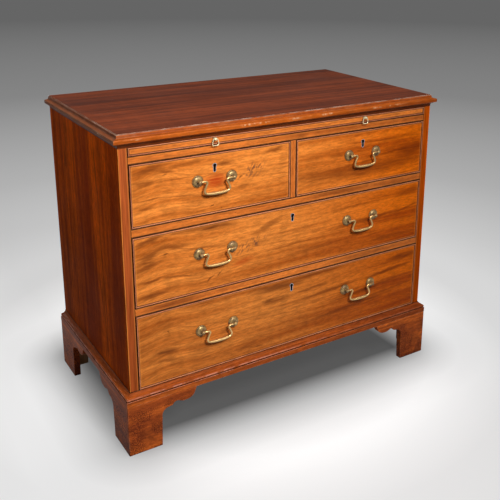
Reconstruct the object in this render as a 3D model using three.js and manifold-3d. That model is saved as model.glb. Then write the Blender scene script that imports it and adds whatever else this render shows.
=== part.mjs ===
import * as THREE from 'three';
import { mergeVertices } from 'three/addons/utils/BufferGeometryUtils.js';
import Module from 'manifold-3d';

// A mahogany bachelor's chest: two short and two long drawers under a brushing slide, on bracket feet.
// Lengths are in millimetres, with x to the right, y to the back and z up from the floor.
// While it is built, y is zero on the front face of the carcass.

const wasm = await Module();
wasm.setup();

// Carcass
const carcassWidth = 930;
const carcassDepth = 512;
const sideThickness = 23;
const backThickness = 10;
const backLap = 11;
const housingDepth = 6;
const housingStop = 8;
const dustboardThickness = 12;
const bottomThickness = 18;
const railDepth = 60;
const muntinWidth = 18;
const guideHeight = 16;

// Heights of the front, from the floor up
const footHeight = 136;
const baseMouldingHeight = 31;
const lowerDrawerOpening = 196;
const lowRailHeight = 22.6;
const upperDrawerOpening = 177.6;
const midRailHeight = 22.8;
const shortDrawerOpening = 152.6;
const slideRailHeight = 20.4;
const slideOpening = 20.3;
const topThickness = 32.7;

// Mouldings, as shares of their projection and height, from the bottom up
const topOverhang = 13;
const topProfileShares = [
  [0, 0],
  [0.03, 0.14],
  [0.1, 0.195],
  [0.346, 0.284],
  [0.64, 0.35],
  [0.93, 0.385],
  [1, 0.45],
  [1, 0.6],
  [0.97, 0.665],
  [0.9, 0.68],
  [0.438, 0.695],
  [0.27, 0.745],
  [0.146, 0.835],
  [0.06, 0.94],
  [-0.077, 0.95],
  [-0.077, 1],
];
const baseProjection = 15;
const baseProfileShares = [
  [1, 0],
  [1, 0.42],
  [0.947, 0.445],
  [0.853, 0.458],
  [0.853, 0.497],
  [0.927, 0.548],
  [0.927, 0.613],
  [0.853, 0.677],
  [0.72, 0.723],
  [0.5, 0.742],
  [0.307, 0.774],
  [0.16, 0.839],
  [0.08, 0.935],
  [0.067, 1],
];

// Bracket feet
const frontLegWidth = 88;
const sideLegWidth = 100;
const legFlare = 2.5;
const legStraightHeight = 88;
const bracketReach = 98;
const bracketThickness = 18;
const backLegWidth = 86;
const backBracketReach = 60;
const footBlockSize = 38;
const footBlockLift = 4;

// The shaped edge of a bracket: control and end points, as shares of its reach and of its curved rise
const bracketCurveShares = [
  { control: [0.035, 0.3], end: [0.224, 0.323] },
  { control: [0.31, 0.335], end: [0.337, 0.458] },
  { control: [0.39, 0.535], end: [0.459, 0.51] },
  { control: [0.56, 0.375], end: [0.684, 0.402] },
  { control: [0.86, 0.4], end: [0.94, 0.68] },
  { control: [0.975, 0.82], end: [1, 1] },
];
const bracketCurveSteps = 3;

// Drawers
const frontThickness = 20;
const drawerBackRoom = 14;
const drawerSideThickness = 10;
const drawerBackThickness = 10;
const drawerSideDrop = 4;
const drawerBackDrop = 4;
const drawerBottomThickness = 7;
const drawerBottomLift = 8;
const drawerGrooveDepth = 4;
const drawerSideGap = 0.8;
const drawerTopGap = 0.8;
const runningGap = 0.3;
const cockbeadWidth = 3.2;
const cockbeadProud = 2.5;
const cockbeadRound = 1.1;

// Lapped dovetails at the drawer fronts
const dovetailLap = 8;
const tailRootShare = 0.33;
const tailTipShare = 0.41;
const shortTailCount = 3;
const longTailCount = 4;

// Brushing slide
const slideBackRoom = 72;
const slideBeadWidth = 2.6;
const slideBeadProud = 2;
const slideBeadRound = 0.8;

// Swan-neck handles
const postSpacing = 92;
const rosetteRadius = 14.5;
const rosetteRise = 6.4;
const rosetteRim = 1.2;
const postNeckRadius = 3.4;
const postEyeRadius = 5;
const pinStand = 13;
const shankRadius = 2.5;
const shankTip = 3;
const nutRadius = 7;
const nutThickness = 4;
const bailPinRadius = 2;
const bailNeckRadius = 2.8;
const bailBarRadius = 4.2;
const bailDrop = 33;
const bailPinEntry = 3.5;
const bailPinShare = 0.3;
const bailSwellShare = 0.72;
const shortPullDrop = 65;
const longPullDrop = 75.5;
const lowerPullDrop = 84;

// The bail from its pin to its middle, as shares of half the post spacing and of its drop
const bailPathShares = [
  [0.725, 0.012],
  [0.635, -0.01],
  [0.583, -0.1],
  [0.64, -0.29],
  [0.705, -0.5],
  [0.742, -0.69],
  [0.71, -0.835],
  [0.63, -0.915],
  [0.46, -0.965],
  [0.24, -0.99],
];

// Ring pulls of the slide
const knobRadius = 4.2;
const knobStand = 7.5;
const knobNeckRadius = 2.2;
const knobCollarRadius = 2.5;
const knobCollarThickness = 1.5;
const knobShankRadius = 1.8;
const knobShankLength = 18;
const ringWireRadius = 1.2;
const ringPinGap = 1.6;
const ringHalfWidth = 8.3;
const ringDrop = 15.5;
const ringPathShares = [
  [0.53, 0],
  [0.67, -0.07],
  [0.82, -0.32],
  [0.99, -0.64],
  [0.96, -0.86],
  [0.74, -0.985],
  [0.36, -1.01],
];

// Locks, with their keyhole liners
const lockWidth = 60;
const lockHeight = 56;
const lockDepth = 10;
const lockWall = 3;
const boltWidth = 32;
const boltHeight = 20;
const boltTravel = 8;
const boltNotchWidth = 9;
const boltNotchHeight = 5;
const mortiseClearance = 1;
const linerHeadRadius = 6;
const linerSlotHalf = 4.2;
const linerSlotDrop = 12.8;
const linerWall = 2.2;
const shortKeyDrop = 32;
const longKeyDrop = 26.8;

// Clearances and facets
const fitGap = 0.3;
const pinGap = 0.4;
const overrun = 5;
const roundSides = 12;
const barSides = 8;
const barSteps = 26;
const ringSides = 6;
const ringSteps = 20;
const arcSteps = 4;
const domeSteps = 3;

// Levels and half widths that follow
const baseTop = footHeight + baseMouldingHeight;
const lowRailBottom = baseTop + lowerDrawerOpening;
const lowRailTop = lowRailBottom + lowRailHeight;
const midRailBottom = lowRailTop + upperDrawerOpening;
const midRailTop = midRailBottom + midRailHeight;
const slideRailBottom = midRailTop + shortDrawerOpening;
const slideRailTop = slideRailBottom + slideRailHeight;
const topUnderside = slideRailTop + slideOpening;
const slidePullLevel = topUnderside - drawerTopGap - slideBeadWidth - fitGap - knobCollarRadius;
const outerHalf = carcassWidth / 2;
const innerHalf = outerHalf - sideThickness;
const housedHalf = innerHalf + housingDepth;
const muntinHalf = muntinWidth / 2;
const shortWidth = innerHalf - muntinHalf;
const pullCentre = muntinHalf + shortWidth / 2;
const backFront = carcassDepth - backThickness;
const drawerDepth = backFront - drawerBackRoom;
const slideDepth = backFront - slideBackRoom;
const lockFace = frontThickness - lockDepth;
const postHalf = postSpacing / 2;

// Colours and finishes
function material(colour, roughness, metalness) {
  return new THREE.MeshStandardMaterial({ color: colour, roughness, metalness });
}

function polishedTopMahogany() {
  return material(0x6b3524, 0.35, 0);
}

function sideMahogany() {
  return material(0x74401f, 0.45, 0);
}

function frontMahogany() {
  return material(0xc27034, 0.4, 0);
}

function railMahogany() {
  return material(0xa85a2a, 0.45, 0);
}

function footMahogany() {
  return material(0x7a3d1e, 0.5, 0);
}

function drawerOak() {
  return material(0xb08a58, 0.7, 0);
}

function backPine() {
  return material(0x8f6a45, 0.8, 0);
}

function agedBrass() {
  return material(0xb2934f, 0.35, 1);
}

function lockSteel() {
  return material(0x7d7b78, 0.4, 1);
}

// Solids
function solidOf(geometry) {
  const bare = geometry.clone();
  bare.deleteAttribute('normal');
  bare.deleteAttribute('uv');
  const merged = mergeVertices(bare);
  const vertProperties = new Float32Array(merged.attributes.position.array);
  const triVerts = new Uint32Array(merged.index.array);
  return new wasm.Manifold(new wasm.Mesh({ numProp: 3, vertProperties, triVerts }));
}

function geometryOf(solid) {
  const mesh = solid.getMesh();
  const geometry = new THREE.BufferGeometry();
  geometry.setAttribute('position', new THREE.BufferAttribute(mesh.vertProperties, 3));
  geometry.setIndex(new THREE.BufferAttribute(mesh.triVerts, 1));
  geometry.computeVertexNormals();
  return geometry;
}

function join(...pieces) {
  return geometryOf(pieces.map(solidOf).reduce((whole, piece) => whole.add(piece)));
}

function cut(piece, ...tools) {
  return geometryOf(tools.map(solidOf).reduce((whole, tool) => whole.subtract(tool), solidOf(piece)));
}

function common(first, second) {
  return geometryOf(solidOf(first).intersect(solidOf(second)));
}

function block([left, right], [front, back], [bottom, top]) {
  const geometry = new THREE.BoxGeometry(right - left, back - front, top - bottom);
  return geometry.translate((left + right) / 2, (front + back) / 2, (bottom + top) / 2);
}

// An outline in x and z, made solid from front to back
function frontPanel(shape, [front, back], steps = arcSteps) {
  const settings = { depth: back - front, bevelEnabled: false, curveSegments: steps };
  return new THREE.ExtrudeGeometry(shape, settings).rotateX(Math.PI / 2).translate(0, back, 0);
}

// An outline in y and z, made solid from left to right
function sidePanel(shape, [left, right], steps = arcSteps) {
  const settings = { depth: right - left, bevelEnabled: false, curveSegments: steps };
  const turn = new THREE.Matrix4().makeBasis(
    new THREE.Vector3(0, 1, 0),
    new THREE.Vector3(0, 0, 1),
    new THREE.Vector3(1, 0, 0),
  );
  return new THREE.ExtrudeGeometry(shape, settings).applyMatrix4(turn).translate(left, 0, 0);
}

function shapeOf(points) {
  return new THREE.Shape(points.map(([across, up]) => new THREE.Vector2(across, up)));
}

function circlePath(x, z, radius) {
  const path = new THREE.Path();
  const points = [];
  for (let i = 0; i < roundSides; i += 1) {
    const angle = (2 * Math.PI * i) / roundSides;
    points.push(new THREE.Vector2(x + radius * Math.cos(angle), z + radius * Math.sin(angle)));
  }
  return path.setFromPoints(points);
}

function rod(radius, [start, end], axis, sides = roundSides) {
  const geometry = new THREE.CylinderGeometry(radius, radius, end - start, sides);
  geometry.translate(0, (start + end) / 2, 0);
  return axis === 'x' ? geometry.rotateZ(-Math.PI / 2) : geometry;
}

// A raised frame with rounded inner and outer edges, standing off the front plane
function beadFrame([left, right], [bottom, top], width, proud, round) {
  const inset = round;
  const shape = shapeOf([
    [left + inset, bottom + inset],
    [right - inset, bottom + inset],
    [right - inset, top - inset],
    [left + inset, top - inset],
  ]);
  const hole = new THREE.Path();
  const reach = width - inset;
  hole.setFromPoints([
    new THREE.Vector2(left + reach, bottom + reach),
    new THREE.Vector2(right - reach, bottom + reach),
    new THREE.Vector2(right - reach, top - reach),
    new THREE.Vector2(left + reach, top - reach),
  ]);
  shape.holes.push(hole);
  const crown = new THREE.ExtrudeGeometry(shape, {
    depth: proud,
    bevelEnabled: true,
    bevelThickness: round,
    bevelSize: round,
    bevelSegments: 2,
  });
  crown.rotateX(Math.PI / 2).translate(0, round, 0);
  const behind = block(
    [left - overrun, right + overrun],
    [0, proud + overrun],
    [bottom - overrun, top + overrun],
  );
  return cut(crown, behind);
}

// A bar of changing thickness, turned straight and then bent along a flat curve in x and z
function bentBar(halfPath, radiusAt, sides, steps) {
  const right = halfPath.map(([x, z]) => new THREE.Vector3(x, 0, z));
  const left = halfPath.map(([x, z]) => new THREE.Vector3(-x, 0, z)).reverse();
  const middle = new THREE.Vector3(0, 0, halfPath.at(-1)[1]);
  const curve = new THREE.CatmullRomCurve3([...right, middle, ...left], false, 'centripetal');
  const profile = [new THREE.Vector2(0, 0)];
  for (let i = 0; i <= steps; i += 1) {
    profile.push(new THREE.Vector2(radiusAt(i / steps), i / steps));
  }
  profile.push(new THREE.Vector2(0, 1));
  const geometry = new THREE.LatheGeometry(profile, sides);
  const place = geometry.attributes.position;
  for (let i = 0; i < place.count; i += 1) {
    const share = THREE.MathUtils.clamp(place.getY(i), 0, 1);
    const point = curve.getPointAt(share);
    const tangent = curve.getTangentAt(share);
    const across = place.getX(i);
    place.setXYZ(i, point.x - tangent.z * across, place.getZ(i), point.z + tangent.x * across);
  }
  return geometry;
}

// Top and base, moulded on the front and both sides and flush at the back
function mouldedBlock(shares, projection, bottom, height) {
  const edge = shares.map(([outShare, upShare]) => [outShare * projection, bottom + upShare * height]);
  const rightEdge = edge.map(([out, up]) => [outerHalf + out, up]);
  const leftEdge = edge.map(([out, up]) => [-outerHalf - out, up]).reverse();
  const frontEdge = edge.map(([out, up]) => [-out, up]);
  const reach = projection + overrun;
  const across = frontPanel(shapeOf([...rightEdge, ...leftEdge]), [-reach, carcassDepth]);
  const alongEdge = [...frontEdge, [carcassDepth, bottom + height], [carcassDepth, bottom]];
  const along = sidePanel(shapeOf(alongEdge), [-outerHalf - reach, outerHalf + reach]);
  return common(across, along);
}

function topBoard() {
  return mouldedBlock(topProfileShares, topOverhang, topUnderside, topThickness);
}

function baseMoulding() {
  const whole = mouldedBlock(baseProfileShares, baseProjection, footHeight, baseMouldingHeight);
  const inside = block(
    [-outerHalf, outerHalf],
    [0, carcassDepth + overrun],
    [footHeight - overrun, baseTop + overrun],
  );
  return cut(whole, inside);
}

// A side, right at 1 and left at -1, with stopped housings for the boards and a rebate for the back
function sideBoard(side) {
  const span = (near, far) => (side > 0 ? [near, far] : [-far, -near]);
  const housing = (top, thickness) => block(
    span(innerHalf - overrun, housedHalf),
    [housingStop, backFront],
    [top - thickness, top],
  );
  const rebate = block(
    span(innerHalf - overrun, innerHalf + backLap),
    [backFront, carcassDepth + overrun],
    [footHeight - overrun, topUnderside + overrun],
  );
  return cut(
    block(span(innerHalf, outerHalf), [0, carcassDepth], [footHeight, topUnderside]),
    housing(baseTop, bottomThickness),
    housing(lowRailTop, dustboardThickness),
    housing(midRailTop, dustboardThickness),
    housing(slideRailTop, dustboardThickness),
    rebate,
  );
}

function backPanel() {
  const half = innerHalf + backLap;
  return block([-half, half], [backFront, carcassDepth], [footHeight, topUnderside]);
}

// A board between the sides, with tongues in their housings
function housedBoard([front, back], top, thickness, tongueThickness) {
  return join(
    block([-innerHalf, innerHalf], [front, back], [top - thickness, top]),
    block([-housedHalf, housedHalf], [Math.max(front, housingStop), back], [top - tongueThickness, top]),
  );
}

function rail(top, height, lockCentres) {
  const bottom = top - height;
  const half = boltWidth / 2 + mortiseClearance;
  const mortises = lockCentres.map((centre) => block(
    [centre - half, centre + half],
    [lockFace + lockWall - mortiseClearance, frontThickness - lockWall + mortiseClearance],
    [bottom - overrun, bottom + boltTravel + mortiseClearance],
  ));
  return cut(housedBoard([0, railDepth], top, height, dustboardThickness), ...mortises);
}

function dustboard(top) {
  return block([-housedHalf, housedHalf], [railDepth, backFront], [top - dustboardThickness, top]);
}

function guidedDustboard(top) {
  const level = [top - overrun, top + guideHeight];
  return join(dustboard(top), block([-muntinHalf, muntinHalf], [railDepth, backFront], level));
}

function bottomBoard() {
  return housedBoard([0, backFront], baseTop, bottomThickness, bottomThickness);
}

function muntin() {
  return block([-muntinHalf, muntinHalf], [0, railDepth], [midRailTop, slideRailBottom]);
}

// The outline of a shaped bracket, measured from its corner
function bracketOutline(legWidth) {
  const rise = footHeight - legStraightHeight;
  const shape = new THREE.Shape();
  const at = ([reachShare, riseShare]) => [
    legWidth + legFlare + reachShare * (bracketReach - legFlare),
    legStraightHeight + riseShare * rise,
  ];
  shape.moveTo(0, 0);
  shape.lineTo(legWidth, 0);
  shape.lineTo(legWidth + legFlare, legStraightHeight);
  for (const { control, end } of bracketCurveShares) {
    shape.quadraticCurveTo(...at(control), ...at(end));
  }
  shape.lineTo(0, footHeight);
  return shape.getPoints(bracketCurveSteps).map((point) => [point.x, point.y]);
}

function plainBracketOutline() {
  return [
    [0, 0],
    [backLegWidth, 0],
    [backLegWidth, legStraightHeight],
    [backLegWidth + backBracketReach, footHeight],
    [0, footHeight],
  ];
}

// A foot about its outer corner: two brackets and the block glued behind them
function bracketFoot(faceOutline, sideOutline, across, along) {
  const ordered = (near, far) => (near < far ? [near, far] : [far, near]);
  const mapped = (outline, way) => shapeOf(outline.map(([out, up]) => [out * way, up]));
  const blockEnd = bracketThickness + footBlockSize;
  return join(
    frontPanel(mapped(faceOutline, across), ordered(0, along * bracketThickness)),
    sidePanel(mapped(sideOutline, along), ordered(0, across * bracketThickness)),
    block(
      ordered(across * (bracketThickness - fitGap), across * blockEnd),
      ordered(along * (bracketThickness - fitGap), along * blockEnd),
      [footBlockLift, footHeight],
    ),
  );
}

function foot(side, isFront) {
  const face = isFront ? bracketOutline(frontLegWidth) : plainBracketOutline();
  const geometry = bracketFoot(face, bracketOutline(sideLegWidth), -side, isFront ? 1 : -1);
  const front = isFront ? -baseProjection : carcassDepth;
  return geometry.translate(side * (outerHalf + baseProjection), front, 0);
}

// A keyhole about the centre of its head, made smaller by an inset
function keyholePoints(centre, height, inset) {
  const head = linerHeadRadius - inset;
  const slot = linerSlotHalf - inset;
  const neck = Math.asin(slot / head);
  const points = [];
  for (let i = 0; i <= 2 * arcSteps; i += 1) {
    const angle = -Math.PI / 2 + neck + (i / (2 * arcSteps)) * 2 * (Math.PI - neck);
    points.push(new THREE.Vector2(centre + head * Math.cos(angle), height + head * Math.sin(angle)));
  }
  for (let i = 0; i <= arcSteps; i += 1) {
    const angle = Math.PI + (i / arcSteps) * Math.PI;
    const low = height - linerSlotDrop;
    points.push(new THREE.Vector2(centre + slot * Math.cos(angle), low + slot * Math.sin(angle)));
  }
  return points;
}

// A drawer about the middle of its opening's floor, with its front face at y zero
function drawerSizes(plan) {
  return {
    half: plan.width / 2 - drawerSideGap,
    bottom: runningGap,
    top: plan.height - drawerTopGap,
    sideTop: plan.height - drawerTopGap - drawerSideDrop,
    keyHeight: plan.height - plan.keyDrop,
    pullHeight: plan.height - plan.pullDrop,
    boxBack: drawerDepth,
    panelBottom: runningGap + drawerBottomLift,
    panelTop: runningGap + drawerBottomLift + drawerBottomThickness,
  };
}

function tailOutlines(plan, grow) {
  const size = drawerSizes(plan);
  const pitch = (size.sideTop - size.bottom) / plan.tails;
  const outlines = [];
  for (let i = 0; i < plan.tails; i += 1) {
    const centre = size.bottom + (i + 0.5) * pitch;
    const root = tailRootShare * pitch + grow;
    const tip = tailTipShare * pitch + grow;
    const end = dovetailLap - grow;
    outlines.push([
      [frontThickness, centre - root],
      [end, centre - tip],
      [end, centre + tip],
      [frontThickness, centre + root],
    ]);
  }
  return outlines;
}

function drawerFront(plan) {
  const size = drawerSizes(plan);
  const face = shapeOf([
    [-size.half, size.bottom],
    [size.half, size.bottom],
    [size.half, size.top],
    [-size.half, size.top],
  ]);
  face.holes.push(new THREE.Path().setFromPoints(keyholePoints(0, size.keyHeight, 0)));
  for (const pull of plan.pulls) {
    for (const side of [-1, 1]) {
      face.holes.push(circlePath(pull.x + side * postHalf, size.pullHeight, shankRadius + pinGap));
    }
  }
  const lockRecess = block(
    [-lockWidth / 2, lockWidth / 2],
    [lockFace, frontThickness + overrun],
    [size.top - lockHeight, size.top + overrun],
  );
  const inner = size.half - drawerSideThickness;
  const panelGroove = block(
    [-inner, inner],
    [frontThickness - drawerGrooveDepth, frontThickness + overrun],
    [size.panelBottom, size.panelTop],
  );
  const sockets = [];
  for (const outline of tailOutlines(plan, fitGap)) {
    const opened = [
      [frontThickness + overrun, outline[0][1]],
      ...outline,
      [frontThickness + overrun, outline[3][1]],
    ];
    sockets.push(sidePanel(shapeOf(opened), [-size.half - overrun, -inner + fitGap]));
    sockets.push(sidePanel(shapeOf(opened), [inner - fitGap, size.half + overrun]));
  }
  const slab = cut(frontPanel(face, [0, frontThickness]), lockRecess, panelGroove, ...sockets);
  const bead = beadFrame(
    [-size.half, size.half],
    [size.bottom, size.top],
    cockbeadWidth,
    cockbeadProud,
    cockbeadRound,
  );
  return join(slab, bead);
}

function drawerBox(plan) {
  const size = drawerSizes(plan);
  const outline = [
    [frontThickness, size.bottom],
    [size.boxBack, size.bottom],
    [size.boxBack, size.sideTop],
    [frontThickness, size.sideTop],
    ...tailOutlines(plan, 0).flat().reverse(),
  ];
  const inner = size.half - drawerSideThickness;
  const back = block(
    [-inner - fitGap, inner + fitGap],
    [size.boxBack - drawerBackThickness, size.boxBack],
    [size.panelTop, size.sideTop - drawerBackDrop],
  );
  const groove = block(
    [-inner - drawerGrooveDepth, inner + drawerGrooveDepth],
    [frontThickness - overrun, size.boxBack + overrun],
    [size.panelBottom, size.panelTop],
  );
  const grooved = (span) => {
    const side = sidePanel(shapeOf(outline), span);
    const tailsKept = block(
      [-size.half - overrun, size.half + overrun],
      [frontThickness, size.boxBack + overrun],
      [size.panelBottom, size.panelTop],
    );
    return cut(side, common(groove, tailsKept));
  };
  return join(grooved([-size.half, -inner]), grooved([inner, size.half]), back);
}

function drawerBottom(plan) {
  const size = drawerSizes(plan);
  const inner = size.half - drawerSideThickness;
  const half = inner + drawerGrooveDepth - fitGap;
  const tongueHalf = inner - fitGap;
  const tongueFront = frontThickness - drawerGrooveDepth + fitGap;
  const level = [size.panelBottom, size.panelTop];
  return join(
    block([-half, half], [frontThickness, size.boxBack], level),
    block([-tongueHalf, tongueHalf], [tongueFront, size.boxBack], level),
  );
}

// A lock case let in behind the front, with the liner that lines the keyhole
function lockCase(plan) {
  const size = drawerSizes(plan);
  const halfBolt = boltWidth / 2;
  const shell = block(
    [-lockWidth / 2, lockWidth / 2],
    [lockFace, frontThickness],
    [size.top - lockHeight, size.top],
  );
  const liner = new THREE.Shape(keyholePoints(0, size.keyHeight, fitGap));
  const keyway = new THREE.Shape(keyholePoints(0, size.keyHeight, linerWall));
  const cavity = block(
    [-halfBolt, halfBolt],
    [lockFace + lockWall, frontThickness - lockWall],
    [size.top - lockHeight + lockWall, size.top + overrun],
  );
  const solid = join(shell, frontPanel(liner, [0, lockFace + lockWall / 2]));
  return cut(solid, cavity, frontPanel(keyway, [-overrun, frontThickness - lockWall - fitGap]));
}

function lockBolt(plan) {
  const size = drawerSizes(plan);
  const half = boltWidth / 2 - fitGap;
  const top = size.top - fitGap;
  const depth = [lockFace + lockWall + fitGap, frontThickness - lockWall - fitGap];
  const notch = block(
    [-boltNotchWidth / 2, boltNotchWidth / 2],
    [lockFace, frontThickness],
    [top - boltHeight - overrun, top - boltHeight + boltNotchHeight],
  );
  return cut(block([-half, half], depth, [top - boltHeight, top]), notch);
}

// A round stretch of a turned profile, as radius and length along the axis
function roundStretch(centre, radius, from, to, steps) {
  const points = [];
  for (let i = 0; i <= steps; i += 1) {
    const angle = from + ((to - from) * i) / steps;
    points.push(new THREE.Vector2(radius * Math.sin(angle), centre - radius * Math.cos(angle)));
  }
  return points;
}

// A handle post turned about y, with a domed rosette, an eye for the bail's pin, and its shank and nut
function handlePost() {
  const neckAngle = Math.PI - Math.asin(postNeckRadius / postEyeRadius);
  const domeWidth = rosetteRadius - postNeckRadius;
  const domeRise = rosetteRise - rosetteRim;
  const profile = roundStretch(-pinStand, postEyeRadius, 0, neckAngle, arcSteps);
  profile[0].x = 0;
  for (let i = 0; i <= domeSteps; i += 1) {
    const angle = (i / domeSteps) * (Math.PI / 2);
    const radius = postNeckRadius + domeWidth * Math.sin(angle);
    profile.push(new THREE.Vector2(radius, -rosetteRim - domeRise * Math.cos(angle)));
  }
  profile.push(new THREE.Vector2(rosetteRadius, 0));
  profile.push(new THREE.Vector2(shankRadius, 0));
  profile.push(new THREE.Vector2(shankRadius, frontThickness));
  profile.push(new THREE.Vector2(nutRadius, frontThickness));
  profile.push(new THREE.Vector2(nutRadius, frontThickness + nutThickness));
  profile.push(new THREE.Vector2(shankRadius, frontThickness + nutThickness));
  profile.push(new THREE.Vector2(shankRadius, frontThickness + nutThickness + shankTip));
  profile.push(new THREE.Vector2(0, frontThickness + nutThickness + shankTip));
  const eye = rod(bailPinRadius + pinGap, [-postEyeRadius - overrun, postEyeRadius + overrun], 'x');
  return cut(new THREE.LatheGeometry(profile, roundSides), eye.translate(0, -pinStand, 0));
}

function bail() {
  const pinEnd = postHalf - postEyeRadius + bailPinEntry;
  const path = bailPathShares.map(([out, drop]) => [out * postHalf, drop * bailDrop]);
  const radiusAt = (share) => {
    const middle = Math.sin(Math.PI * share);
    const swell = THREE.MathUtils.smoothstep(middle, bailSwellShare, 1);
    const pin = THREE.MathUtils.smoothstep(middle, 0, bailPinShare);
    const neck = bailPinRadius + (bailNeckRadius - bailPinRadius) * pin;
    return neck + (bailBarRadius - bailNeckRadius) * swell;
  };
  return bentBar([[pinEnd, 0], ...path], radiusAt, barSides, barSteps);
}

// The slide's knob, turned about y, with a hole for the ring and a screw into the slide
function slideKnob() {
  const neckAngle = Math.PI - Math.asin(knobNeckRadius / knobRadius);
  const profile = roundStretch(-knobStand, knobRadius, 0, neckAngle, arcSteps);
  profile[0].x = 0;
  profile.push(new THREE.Vector2(knobNeckRadius, -knobCollarThickness));
  profile.push(new THREE.Vector2(knobCollarRadius, -knobCollarThickness));
  profile.push(new THREE.Vector2(knobCollarRadius, 0));
  profile.push(new THREE.Vector2(knobShankRadius, 0));
  profile.push(new THREE.Vector2(knobShankRadius, knobShankLength - knobShankRadius));
  profile.push(new THREE.Vector2(0, knobShankLength));
  const eye = rod(ringWireRadius + pinGap, [-knobRadius - overrun, knobRadius + overrun], 'x');
  return cut(new THREE.LatheGeometry(profile, roundSides), eye.translate(0, -knobStand, 0));
}

function slideRing() {
  const path = ringPathShares.map(([out, drop]) => [out * ringHalfWidth, drop * ringDrop]);
  return bentBar([[ringPinGap / 2, 0], ...path], () => ringWireRadius, ringSides, ringSteps);
}

function brushingSlide() {
  const half = innerHalf - drawerSideGap;
  const bottom = slideRailTop + runningGap;
  const top = topUnderside - drawerTopGap;
  const screwHoles = [-pullCentre, pullCentre].map((x) => (
    rod(knobShankRadius + pinGap, [-overrun, knobShankLength + fitGap], 'y').translate(x, 0, slidePullLevel)
  ));
  const bead = beadFrame([-half, half], [bottom, top], slideBeadWidth, slideBeadProud, slideBeadRound);
  return cut(join(block([-half, half], [0, slideDepth], [bottom, top]), bead), ...screwHoles);
}

// Assembly
const chest = new THREE.Group();
const drawerPlans = [
  {
    name: 'short_left',
    centre: -pullCentre,
    floor: midRailTop,
    width: shortWidth,
    height: shortDrawerOpening,
    pulls: [{ name: 'short_left', x: 0 }],
    pullDrop: shortPullDrop,
    keyDrop: shortKeyDrop,
    tails: shortTailCount,
  },
  {
    name: 'short_right',
    centre: pullCentre,
    floor: midRailTop,
    width: shortWidth,
    height: shortDrawerOpening,
    pulls: [{ name: 'short_right', x: 0 }],
    pullDrop: shortPullDrop,
    keyDrop: shortKeyDrop,
    tails: shortTailCount,
  },
  {
    name: 'long_upper',
    centre: 0,
    floor: lowRailTop,
    width: 2 * innerHalf,
    height: upperDrawerOpening,
    pulls: [{ name: 'upper_left', x: -pullCentre }, { name: 'upper_right', x: pullCentre }],
    pullDrop: longPullDrop,
    keyDrop: longKeyDrop,
    tails: longTailCount,
  },
  {
    name: 'long_lower',
    centre: 0,
    floor: baseTop,
    width: 2 * innerHalf,
    height: lowerDrawerOpening,
    pulls: [{ name: 'lower_left', x: -pullCentre }, { name: 'lower_right', x: pullCentre }],
    pullDrop: lowerPullDrop,
    keyDrop: longKeyDrop,
    tails: longTailCount,
  },
];

function addPiece(group, name, geometry, finish, place = [0, 0, 0]) {
  const mesh = new THREE.Mesh(geometry, finish);
  mesh.name = name;
  mesh.position.set(...place);
  group.add(mesh);
}

function addCarcass(group) {
  const drawerLocks = [-pullCentre, pullCentre];
  addPiece(group, 'top_board', topBoard(), polishedTopMahogany());
  addPiece(group, 'side_panel_left', sideBoard(-1), sideMahogany());
  addPiece(group, 'side_panel_right', sideBoard(1), sideMahogany());
  addPiece(group, 'back_panel', backPanel(), backPine());
  addPiece(group, 'bottom_board', bottomBoard(), backPine());
  addPiece(group, 'rail_under_slide', rail(slideRailTop, slideRailHeight, drawerLocks), railMahogany());
  addPiece(group, 'rail_mid', rail(midRailTop, midRailHeight, [0]), railMahogany());
  addPiece(group, 'rail_low', rail(lowRailTop, lowRailHeight, [0]), railMahogany());
  addPiece(group, 'muntin', muntin(), railMahogany());
  addPiece(group, 'dustboard_upper', dustboard(slideRailTop), backPine());
  addPiece(group, 'dustboard_mid', guidedDustboard(midRailTop), backPine());
  addPiece(group, 'dustboard_low', dustboard(lowRailTop), backPine());
}

function addBase(group) {
  addPiece(group, 'base_moulding', baseMoulding(), footMahogany());
  addPiece(group, 'foot_front_left', foot(-1, true), footMahogany());
  addPiece(group, 'foot_front_right', foot(1, true), footMahogany());
  addPiece(group, 'foot_back_left', foot(-1, false), footMahogany());
  addPiece(group, 'foot_back_right', foot(1, false), footMahogany());
}

function addSlide(group) {
  addPiece(group, 'brushing_slide', brushingSlide(), railMahogany());
  for (const [name, x] of [['left', -pullCentre], ['right', pullCentre]]) {
    addPiece(group, `slide_knob_${name}`, slideKnob(), agedBrass(), [x, 0, slidePullLevel]);
    addPiece(group, `slide_ring_${name}`, slideRing(), agedBrass(), [x, -knobStand, slidePullLevel]);
  }
}

function addHandle(group, pull, level) {
  addPiece(group, `handle_${pull.name}_post_l`, handlePost(), agedBrass(), [pull.x - postHalf, 0, level]);
  addPiece(group, `handle_${pull.name}_post_r`, handlePost(), agedBrass(), [pull.x + postHalf, 0, level]);
  addPiece(group, `handle_${pull.name}_bail`, bail(), agedBrass(), [pull.x, -pinStand, level]);
}

function addDrawer(group, plan) {
  const drawer = new THREE.Group();
  drawer.position.set(plan.centre, 0, plan.floor);
  addPiece(drawer, `drawer_${plan.name}_front`, drawerFront(plan), frontMahogany());
  addPiece(drawer, `drawer_${plan.name}_box`, drawerBox(plan), drawerOak());
  addPiece(drawer, `drawer_${plan.name}_bottom`, drawerBottom(plan), drawerOak());
  addPiece(drawer, `lock_${plan.name}_case`, lockCase(plan), lockSteel());
  addPiece(drawer, `lock_${plan.name}_bolt`, lockBolt(plan), lockSteel());
  for (const pull of plan.pulls) {
    addHandle(drawer, pull, drawerSizes(plan).pullHeight);
  }
  group.add(drawer);
}

addCarcass(chest);
addBase(chest);
addSlide(chest);
for (const plan of drawerPlans) {
  addDrawer(chest, plan);
}

// The origin is on the floor, midway between the back and the foremost point of the handles
chest.position.y = (pinStand + postEyeRadius - carcassDepth) / 2;

export default chest;
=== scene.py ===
from math import asin, cos, degrees, pi, radians, sin

import bmesh
import bpy
from mathutils import Matrix, Vector


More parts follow.
